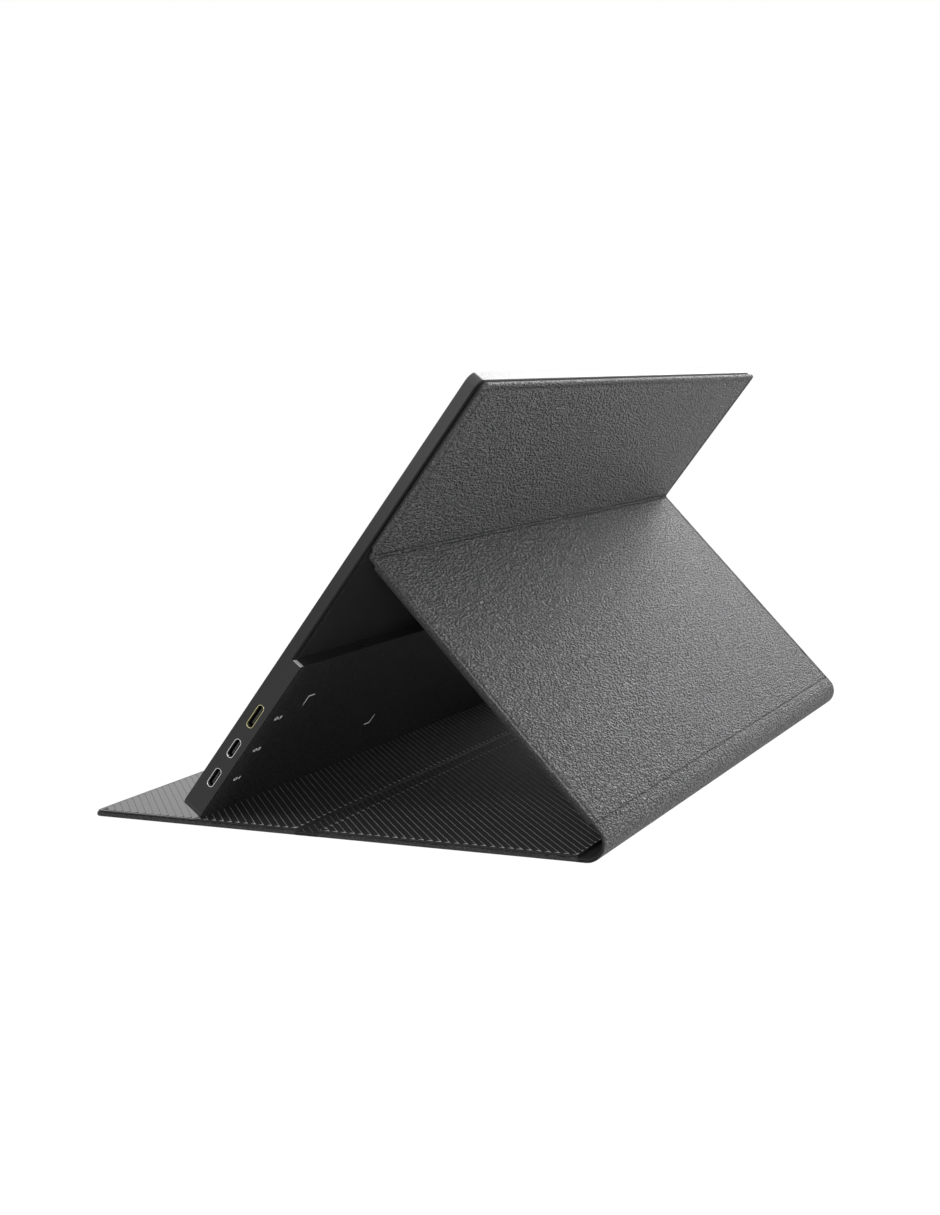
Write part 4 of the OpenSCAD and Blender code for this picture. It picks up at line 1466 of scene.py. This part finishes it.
@dataclass
class Casing:
    """The grey side frame, the glossy rear plate, the matt block cover and the front glass.

    Sizes are in millimetres. The frame's foot edge reaches foot_drop lower than the solid's, so that no light
    shows below it. The wall's upward faces take a painted highlight from highlight_from up to highlight_over
    past the step. Faces at the rear are painted like the block cover edge_w round the edge, and foot_w up
    from the foot this is painted shade where the foot meets the cover.
    """

    INNER = -1.0

    stand: Stand = STAND
    corner_r: float = 4
    block_corner_r: float = 0.5
    rear_bevel: float = 0.9
    block_bevel: float = 0.05
    foot_drop: float = 0.09
    front_bevel: float = 0.12
    glass_inset: float = 0.2
    glass_t: float = 0.8
    shell_t: float = 0.9
    plate_r: float = 0.3
    plate_bevel: float = 0.12
    fit: float = 0.1
    highlight_from: float = 80
    highlight_over: float = 0.1
    edge_w: float = 0.45
    foot_w: float = 0.5
    near: float = 0.05
    steps: int = 14
    bevel_steps: int = 4

    @property
    def step_z(self) -> float:
        """Height of the thin part's back over the block's back."""
        return self.stand.block_t - self.stand.panel_t

    def rim(self, spots: Sequence[Spot], section: Callable[[int], list[Point]]) -> list[list[Vector]]:
        """Sweeps the wall's section round an outline.

        Args:
            spots: Places on the outline, each with its outward direction and its place on the inner side.
            section: Gives, for a place's number, the section as inset and height. INNER is the inner side.

        Returns:
            One ring of vertices for each place.
        """
        rings: list[list[Vector]] = []
        for index, ((x, s), (nx, ns), inside) in enumerate(spots):
            ring: list[Vector] = []
            for inset, z in section(index):
                px, ps = inside if inset == self.INNER else (x - nx * inset, s - ns * inset)
                ring.append(self.stand.on_monitor(px, ps, z))
            rings.append(ring)
        return rings

    def outline(self, low: float, high: float, radii: tuple[float, float]) -> list[Spot]:
        """Draws the frame's outline with the square-cornered opening inside it.

        Args:
            low: Lowest place up the back.
            high: Highest place up the back.
            radii: Radius of the lower and of the upper corners.

        Returns:
            Its places, each with its outward direction and its place on the inner side.
        """
        half = self.stand.width / 2
        spots: list[Spot] = []
        lower, upper = radii
        corners = [(1, low, lower, -90), (1, high, upper, 0), (-1, high, upper, 90), (-1, low, lower, 180)]
        for side, level, radius, first in corners:
            cx = side * (half - radius)
            cs = level + radius if level == low else level - radius
            for step in range(self.steps + 1):
                turn = math.radians(first + 90 * step / self.steps)
                nx, ns = math.cos(turn), math.sin(turn)
                reach = (radius - self.stand.wall) / max(abs(nx), abs(ns))
                outside, inside = ((cx + run * nx, cs + run * ns) for run in (radius, reach))
                spots.append((outside, (nx, ns), inside))
        return spots

    def arc(self, radius: float) -> list[Point]:
        """Draws the quarter round of an edge in inset and height, from the side to the back."""
        turns = [math.radians(180 + 90 * step / self.bevel_steps) for step in range(self.bevel_steps + 1)]
        return [(radius + radius * math.cos(turn), radius + radius * math.sin(turn)) for turn in turns]

    def frame_ring(self) -> bpy.types.Object:
        """Makes the frame's thin part all round, with its rear edge rounded above the block."""
        stand, bevel = self.stand, self.rear_bevel
        half, step_s = stand.width / 2, stand.block_h
        spots = self.outline(-self.foot_drop, stand.height, (self.corner_r, self.corner_r))
        right, left = self.steps + 1, 3 * (self.steps + 1)
        on_right, on_left = ([((side * half, step_s), (side, 0.0), (side * (half - stand.wall), step_s))] * 2
                             for side in (1.0, -1.0))
        spots = [*spots[:right], *on_right, *spots[right:left], *on_left, *spots[left:]]
        above_step = range(right + 1, left + 3)
        seat, top, inset = stand.block_t - self.glass_t, stand.block_t, self.glass_inset
        front = self.front_bevel
        lip = [(self.INNER, seat), (inset, seat), (inset, top), (front, top), (0, top - front)]
        rounded = [(side, self.step_z + z) for side, z in self.arc(bevel)] + [(self.INNER, self.step_z)]
        # The square edge has as many points as the rounded one, so that their rings join.
        square = [(0, self.step_z + bevel * 0.1 * step) for step in (10, 7, 4, 1)]
        square += [(0, self.step_z), (self.INNER, self.step_z)]

        def section(index: int) -> list[Point]:
            """Gives the wall's section at one place."""
            return lip + (rounded if index in above_step else square)

        return solid("side_frame_dressed", *loft(self.rim(spots, section), Ends.JOINED), "grey_coat")

    def block_skirt(self) -> bpy.types.Object:
        """Makes the wall round the block, from one end of the step to the other."""
        stand, count = self.stand, self.steps + 1
        end_x, end_s = stand.width / 2 - stand.wall, stand.block_h - stand.wall
        outline = self.outline(-self.foot_drop, stand.block_h, (self.corner_r, self.block_corner_r))
        spots = [(at, out, (math.copysign(end_x, at[0]), end_s) if at[1] > end_s else inside)
                 for at, out, inside in outline]
        first, last = (((side * end_x, stand.block_h), (0.0, 1.0), (side * end_x, end_s)) for side in (-1, 1))
        spots = [first, *spots[2 * count:], *spots[:2 * count], last]

        def section(_: int) -> list[Point]:
            """Gives the wall's section, the same everywhere."""
            return [(self.INNER, 0), (self.INNER, self.step_z), (0, self.step_z), *self.arc(self.block_bevel)]

        return solid("skirt", *loft(self.rim(spots, section)), "grey_coat")

    def prism(self, name: str, outline: Callable[[float], list[Point]], levels: Sequence[Point],
              place: Callable[[float, float, float], Vector], finish: str) -> bpy.types.Object:
        """Stacks an outline into a closed solid with shaped edges.

        Args:
            name: The piece's name.
            outline: Gives the outline at an inset.
            levels: Inset and height of each level.
            place: Puts an outline's point and a height at its place in the row's frame.
            finish: The finish's name.

        Returns:
            The new piece.
        """
        rings = [[place(x, y, z) for x, y in outline(inset)] for inset, z in levels]
        return solid(name, *loft(rings), finish)

    def cutter(self, at: Point, size: Point, levels: Sequence[Point]) -> bpy.types.Object:
        """Makes a slot-shaped solid that runs along the width.

        Args:
            at: Place of its middle up the back, and from the block's back.
            size: Its longer and its shorter side.
            levels: Inset of its outline and place along the width, in order.

        Returns:
            The solid.
        """
        return self.prism("cutter", lambda inset: stadium(size[0] - 2 * inset, size[1] - 2 * inset), levels,
                          lambda a, b, x: self.stand.on_monitor(x, at[0] + a, at[1] + b), "grey_coat")

    def finish_faces(self, ring: bpy.types.Object) -> None:
        """Paints a highlight on the wall's upward faces at the step's ends, paints its rear like the cover
        with painted shade along the foot, and paints shade on its rear bevels above the block.

        Args:
            ring: The frame.
        """
        bare, dark, black = range(len(ring.data.materials), len(ring.data.materials) + 3)
        for name in ("step_end_highlight", "matt_black", "bevel_shade"):
            ring.data.materials.append(FINISHES.materials[name])
        stand = self.stand
        foot, rise = stand.on_monitor(0, 0, 0), stand.rise
        front = (stand.on_monitor(0, 0, 1) - foot).normalized()
        for face in ring.data.polygons:
            level, depth = ((face.center - foot).dot(way) / MM for way in (rise, front))
            up, ahead = face.normal.dot(rise), face.normal.dot(front)
            faces_up, faces_back, slants_back = up > 0.6, ahead < -0.9, -0.99 < ahead < -0.1
            step_end = self.highlight_from < level < stand.block_h + self.highlight_over and depth < self.step_z
            foot_edge = level < self.foot_w and abs(face.normal.x) < 0.5
            # Painted highlight: the upward faces at the step's ends are pale.
            if faces_up and step_end:
                face.material_index = bare
            # Faces at the rear take the block cover's finish; along the foot this is painted shade where the
            # foot meets the cover.
            elif depth < self.edge_w and (faces_back or foot_edge):
                face.material_index = dark
            # Painted shade: the rear bevels above the block are nearly black, standing in for the gap's
            # shade.
            elif slants_back and level > stand.block_h and depth > self.step_z - self.near:
                face.material_index = black

    def build(self, ports: "Ports") -> None:
        """Makes the casing's pieces and sets them on the monitor.

        Args:
            ports: The sockets and keys that the frame is cut for.
        """
        stand, fit = self.stand, self.fit
        ring = self.frame_ring()
        cut(ring, self.block_skirt(), "UNION")
        cut(ring, joined(ports.cutters(self)))
        self.finish_faces(ring)
        settle(ring, Body.MONITOR, "grey_coat", "side_frame")

        top, side = stand.block_t, self.glass_inset

        def glass_outline(inset: float) -> list[Point]:
            """Draws the glass at an inset."""
            edge = side + inset
            return round_box(stand.width / 2 - edge, edge, stand.height - edge, self.corner_r - edge)

        glass = self.prism("front_glass_dressed", glass_outline,
                           [(0, top - self.glass_t), (0, top - 0.15), (0.05, top - 0.05), (0.15, top)],
                           stand.on_monitor, "screen_glass")
        low, high = stand.block_h + fit, stand.height - stand.wall - fit
        half, bevel = stand.width / 2 - stand.wall - fit, self.plate_bevel
        plate = self.prism(
            "rear_plate_dressed", lambda edge: round_box(half - edge, low + edge, high - edge, self.plate_r),
            [(bevel, self.step_z), (0, self.step_z + bevel), (0, self.step_z + self.shell_t)],
            stand.on_monitor, "gloss_black")
        settle(glass, Body.MONITOR, "screen_glass", "front_glass")
        settle(plate, Body.MONITOR, "gloss_black", "rear_plate")
        dress_nodes({"matt_black": ("rear_block_cover",)})


@dataclass
class Marks:
    """Thin printed marks on the block's back: two corner angles and a number beside each socket.

    Sizes are in millimetres. The numbers are drawn out along the width, as they are seen at a flat angle.
    """

    stand: Stand = STAND
    arm: float = 5.4
    stroke: float = 0.5
    thick: float = 0.02
    figure_h: float = 1.8
    figure_share: float = 0.7
    figure_draw: float = 2.5
    figure_x: float = 166.5
    angles: tuple[tuple[float, float, int], ...] = ((150, 63.7, -1), (53, 24.8, 1))

    def bar(self, x: Point, s: Point) -> tuple[list[Vector], list[list[int]]]:
        """Draws a flat bar between two places along the width and two up the back."""
        (x0, x1), (s0, s1) = sorted(x), sorted(s)
        corners = ((x0, s0), (x1, s0), (x1, s1), (x0, s1))
        return loft([[self.stand.on_monitor(*corner, z) for corner in corners] for z in (-self.thick, 0.0)])

    def angle(self, x: float, s: float, way: int) -> tuple[list[Vector], list[list[int]]]:
        """Draws a corner angle of two bars.

        Args:
            x: Place of its corner along the width.
            s: Place of its corner up the back.
            way: 1 or -1, the way that both its arms point.

        Returns:
            Vertices and faces.
        """
        arm, stroke = way * self.arm, way * self.stroke
        verts, faces = self.bar((x, x + arm), (s, s + stroke))
        more, again = self.bar((x, x + stroke), (s + stroke, s + arm))
        return verts + more, faces + [[index + len(verts) for index in face] for face in again]

    def figure(self, index: int, s: float) -> tuple[list[Vector], list[list[int]]]:
        """Draws a number of two figures.

        Args:
            index: The number.
            s: Its place up the back.

        Returns:
            Vertices and faces.
        """
        curve = bpy.data.curves.new("figure", "FONT")
        curve.body = f"{index:02d}"
        curve.size = self.figure_h / self.figure_share * MM
        curve.extrude = self.thick / 2 * MM
        curve.align_x, curve.align_y = "CENTER", "CENTER"
        holder = add_object("figure", curve)
        mesh = as_mesh(holder)
        bpy.data.objects.remove(holder)
        places = [[size / MM for size in vert.co] for vert in mesh.vertices]
        verts = [self.stand.on_monitor(self.figure_x - x * self.figure_draw, s + y, -self.thick / 2 - z)
                 for x, y, z in places]
        return verts, [list(face.vertices) for face in mesh.polygons]

    def build(self, numbered: Sequence[float]) -> None:
        """Makes the marks and sets them on the monitor.

        Args:
            numbered: Places up the back that get a number each.
        """
        for index, angle in enumerate(self.angles, 1):
            mark = solid(f"corner_mark_{index}", *self.angle(*angle), "printed_grey")
            settle(mark, Body.MONITOR, "printed_grey")
        for index, s in enumerate(numbered, 1):
            mark = solid(f"socket_number_{index}", *self.figure(index, s), "printed_grey")
            settle(mark, Body.MONITOR, "printed_grey")


@dataclass
class Ports:
    """Sockets on one edge of the frame, and the keys and headphone socket on the other.

    Sizes are in millimetres. Places are up the monitor's back, and lifts are over the block's back. The cap's
    pairs are the inset and depth of its softly rounded, slightly dished face.
    """

    stand: Stand = STAND
    lift: float = 4.4
    usb_at: Point = (20.4, 37)
    hdmi_at: float = 54.8
    usb: Point = (8.34, 2.56)
    hdmi: Point = (10.6, 2.5)
    ring_more: Point = (1.4, 0.8)
    ring_wall: float = 0.22
    ring_edge: float = 0.05
    ring_l: float = 0.9
    ring_lap: float = 0.02
    ring_gap: float = 0.01
    keys_at: Point = (20, 38)
    key: Point = (11, 3)
    key_gap: float = 0.1
    key_back: float = 0.05
    flange_t: float = 0.7
    flange_lip: float = 0.7
    cap: tuple[Point, ...] = ((0, 0.25), (0.07, 0.09), (0.25, 0.01), (0.5, 0), (0.75, 0.04), (1.2, 0.1))
    jack_at: float = 57
    jack_lift: float = 3.6
    jack_r: float = 2.4
    beyond: float = 1

    def cutters(self, casing: Casing) -> list[bpy.types.Object]:
        """Makes the solids that cut the frame's openings.

        Args:
            casing: The casing that is cut.

        Returns:
            The cutters.
        """
        half, wall, beyond = self.stand.width / 2, self.stand.wall, self.beyond
        seat, lap, gap = half - self.ring_l, -self.ring_lap, 2 * self.key_gap
        inset = self.ring_wall
        levels = [(inset, half - wall - beyond), (inset, seat), (lap, seat), (lap, half + beyond)]
        made = [casing.cutter((s, self.lift), self.mouth(size), levels) for s, size in self.sockets()]
        through = [(0, -half - beyond), (0, wall + beyond - half)]
        hole = (self.key[0] + gap, self.key[1] + gap)
        made += [casing.cutter((s, self.lift), hole, through) for s in self.keys_at]
        return [*made, casing.cutter((self.jack_at, self.jack_lift), (2 * self.jack_r,) * 2, through)]

    def sockets(self) -> list[tuple[float, Point]]:
        """Lists each socket's place up the back and its size."""
        return [(self.usb_at[0], self.usb), (self.usb_at[1], self.usb), (self.hdmi_at, self.hdmi)]

    def mouth(self, size: Point) -> Point:
        """Gives the outer size of the ring round a socket."""
        return size[0] + self.ring_more[0], size[1] + self.ring_more[1]

    def ring(self, at: float, size: Point, finish: str) -> bpy.types.Object:
        """Makes the bright ring round a socket, with both its edges broken.

        Args:
            at: Place of its middle up the back.
            size: The socket's size.
            finish: The finish's name.

        Returns:
            The ring.
        """
        outer, wall, edge = self.stand.width / 2, self.ring_wall, self.ring_edge
        back = outer - self.ring_l + self.ring_gap
        length, height = self.mouth(size)
        section = [(0, back), (0, outer - edge), (edge, outer), (wall - edge, outer), (wall, outer - edge),
                   (wall, back)]
        rings = [[self.stand.on_monitor(x, at + a, self.lift + b)
                  for a, b in stadium(length - 2 * inset, height - 2 * inset)] for inset, x in section]
        return solid("ring", *loft(rings, Ends.JOINED), finish)

    def add_rings(self) -> None:
        """Makes the three rings, in silver round the two equal sockets and in gold round the other."""
        lower, upper, other = self.sockets()
        for node, finish, sockets in (("usb_c_rings", "bright_silver", (lower, upper)),
                                      ("hdmi_ring", "pale_gold", (other,))):
            piece = joined([self.ring(*socket, finish) for socket in sockets])
            piece.name = piece.data.name = f"{node}_dressed"
            smooth(piece, 50)
            settle(piece, Body.MONITOR, finish, node)

    def add_key(self, s: float, node: str, body: Body, casing: Casing) -> None:
        """Makes a key with its flange and cap.

        Args:
            s: Place of its middle up the back.
            node: The node that it stands for.
            body: The body that it rides on.
            casing: The casing that it sits in.
        """
        outer, lip = -self.stand.width / 2, self.flange_lip
        neck = outer + self.stand.wall + self.key_back
        levels = [(-lip, neck + self.flange_t), (-lip, neck), (0, neck)]
        levels += [(inset, outer + depth) for inset, depth in self.cap]

        def outline(inset: float) -> list[Point]:
            """Draws the key's outline; the flange is wider but no taller."""
            length, height = self.key
            return stadium(length - 2 * inset, height - 2 * max(inset, 0))

        piece = casing.prism(f"{node}_dressed", outline, levels,
                             lambda a, b, x: self.stand.on_monitor(x, s + a, self.lift + b), "grey_key")
        smooth(piece, 40)
        settle(piece, body, "grey_key", node)

    def build(self, casing: Casing) -> None:
        """Makes the rings and keys and gives the sockets their finishes.

        Args:
            casing: The casing that they sit in.
        """
        self.add_rings()
        for s, node, body in zip(self.keys_at, ("power_button", "menu_key"), (Body.POWER_KEY, Body.MENU_KEY)):
            self.add_key(s, node, body, casing)
        dress_nodes({
            "socket_steel": ("usb_c_socket_1", "usb_c_socket_2", "mini_hdmi_socket"),
            "tongue_grey": ("usb_c_tongues", "hdmi_tongue"),
            "matt_black": ("headphone_jack",),
        })


class Internals:
    """The screen's stack and the electronics, which keep their shapes."""

    LOOKS: dict[str, tuple[str, ...]] = {
        "foam_tape": ("glass_tape", "foam_pads"),
        "cell_glass": ("lcd_cell",),
        "milky_film": ("optical_films", "light_guide", "reflector_sheet"),
        "amber_film": ("led_strip", "panel_cable", "button_cable"),
        "tray_steel": ("panel_tray", "steel_plates", "board_screws", "button_switches"),
        "board_green": ("main_board", "button_board"),
        "chip_black": ("board_chips",),
    }

    def build(self) -> None:
        """Gives each node its finish."""
        dress_nodes(self.LOOKS)


# ---- Studio ----


@dataclass(frozen=True)
class SoftLamp:
    """A square soft lamp that looks at the object."""

    name: str
    place: tuple[float, float, float]
    aim: tuple[float, float, float]
    size: tuple[float, float]
    power: float

    def build(self) -> None:
        """Hangs the lamp."""
        light = bpy.data.lights.new(self.name, "AREA")
        light.shape = "RECTANGLE"
        light.size, light.size_y = self.size
        light.energy = self.power
        lamp = add_object(self.name, light)
        lamp.location = self.place
        lamp.rotation_euler = (Vector(self.aim) - Vector(self.place)).to_track_quat("-Z", "Y").to_euler()


@dataclass(frozen=True)
class Studio:
    """White studio with soft lamps and the camera, in metres and degrees."""

    eye: tuple[float, float, float] = (0.8159, 0.3619, 0.1852)
    yaw: float = 244.9306
    pitch: float = -7.1554
    roll: float = -1.3224
    lens: float = 54.478
    sensor: float = 36
    clip: tuple[float, float] = (0.02, 50)
    ambient: float = 0.185
    floor_r: float = 6
    floor_z: float = -0.0001
    floor_glow: float = 1.1
    floor_share: float = 0.9
    floor_tone: float = 0.55
    lamps: tuple[SoftLamp, ...] = (
        SoftLamp("rear_lamp", (0.2, 0.95, 0.58), (0, 0.05, 0.1), (0.3, 0.3), 7.3),
        SoftLamp("far_lamp", (-1.1, 0.05, 0.6), (-0.05, 0.02, 0.12), (0.5, 0.9), 8),
        SoftLamp("near_lamp", (1.3, 0.72, 0.25), (0.1, 0, 0.06), (0.3, 0.3), 7.2),
        SoftLamp("edge_lamp", (0.6, -0.25, 0.55), (0.18, 0, 0.14), (0.2, 0.2), 0.8),
    )

    def camera(self) -> None:
        """Sets the camera up."""
        data = bpy.data.cameras.new("camera")
        data.lens, data.sensor_width, data.sensor_fit = self.lens, self.sensor, "AUTO"
        data.clip_start, data.clip_end = self.clip
        camera = add_object("camera", data)
        yaw, pitch, roll = (math.radians(angle) for angle in (self.yaw, self.pitch, self.roll))
        ahead = Vector((math.sin(yaw) * math.cos(pitch), math.cos(yaw) * math.cos(pitch), math.sin(pitch)))
        right = ahead.cross(Vector((0, 0, 1))).normalized()
        up = right.cross(ahead)
        across = math.cos(roll) * right + math.sin(roll) * up
        above = math.cos(roll) * up - math.sin(roll) * right
        turn = Matrix((across, above, -ahead)).transposed()
        camera.matrix_world = Matrix.Translation(Vector(self.eye)) @ turn.to_4x4()
        bpy.context.scene.camera = camera

    def world(self) -> None:
        """Makes a white surround to the eye and in reflections, and a dimmer one as a light."""
        world = bpy.data.worlds.new("studio")
        bpy.context.scene.world = world
        world.use_nodes = True
        tree = NodeTree(world.node_tree)
        path = tree.node("ShaderNodeLightPath", None, None, "Is Camera Ray")
        glossy = Value(tree, path.socket.node.outputs["Is Glossy Ray"])
        through = Value(tree, path.socket.node.outputs["Is Transmission Ray"])
        seen = path.greatest(glossy).greatest(through)
        shade = tree.node("ShaderNodeBackground", None,
                          {"Color": (1, 1, 1, 1), "Strength": seen * (1 - self.ambient) + self.ambient})
        tree.node("ShaderNodeOutputWorld", None, {"Surface": shade})

    def floor(self) -> None:
        """Lays a white floor that keeps a soft shadow."""
        shader = Shader("studio_floor")
        path = shader.node("ShaderNodeLightPath", None, None, "Is Camera Ray")
        glossy = Value(shader, path.socket.node.outputs["Is Glossy Ray"])
        tone = self.floor_tone
        lit = shader.node("ShaderNodeBsdfDiffuse", None, {"Color": (tone, tone, tone, 1)})
        white = shader.node("ShaderNodeEmission", None, {"Color": (1, 1, 1, 1), "Strength": self.floor_glow})
        share = path.greatest(glossy) * self.floor_share
        mixed = shader.node("ShaderNodeMixShader", None, {0: share, 1: lit, 2: white})
        shader.node("ShaderNodeOutputMaterial", None, {"Surface": mixed})
        turns = [math.radians(angle) for angle in range(0, 360, 6)]
        radius = self.floor_r
        verts = [(radius * math.cos(turn), radius * math.sin(turn), self.floor_z) for turn in turns]
        mesh = bpy.data.meshes.new("studio_floor")
        mesh.from_pydata(verts, [], [list(range(len(verts)))])
        floor = add_object("studio_floor", mesh)
        floor.data.materials.append(shader.material)
        floor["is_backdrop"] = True

    def build(self) -> None:
        """Builds the whole studio."""
        bpy.context.scene.view_settings.view_transform = "Standard"
        self.camera()
        self.world()
        self.floor()
        for lamp in self.lamps:
            lamp.build()


def plain(box: Sequence[Sequence[float]]) -> list[list[float]]:
    """Turns a box into plain lists of numbers."""
    return [[float(value) for value in corner] for corner in box]


def main() -> None:
    """Builds the object and its studio."""
    logging.basicConfig(level=logging.INFO, format="%(name)s: %(message)s")
    boxes = {"cad": plain(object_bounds())}
    Studio().build()
    Cover().build()
    casing, ports = Casing(), Ports()
    casing.build(ports)
    ports.build(casing)
    Internals().build()
    Marks().build((*ports.usb_at, ports.hdmi_at))
    boxes["visual"] = plain(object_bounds())


if __name__ == "__main__":
    main()
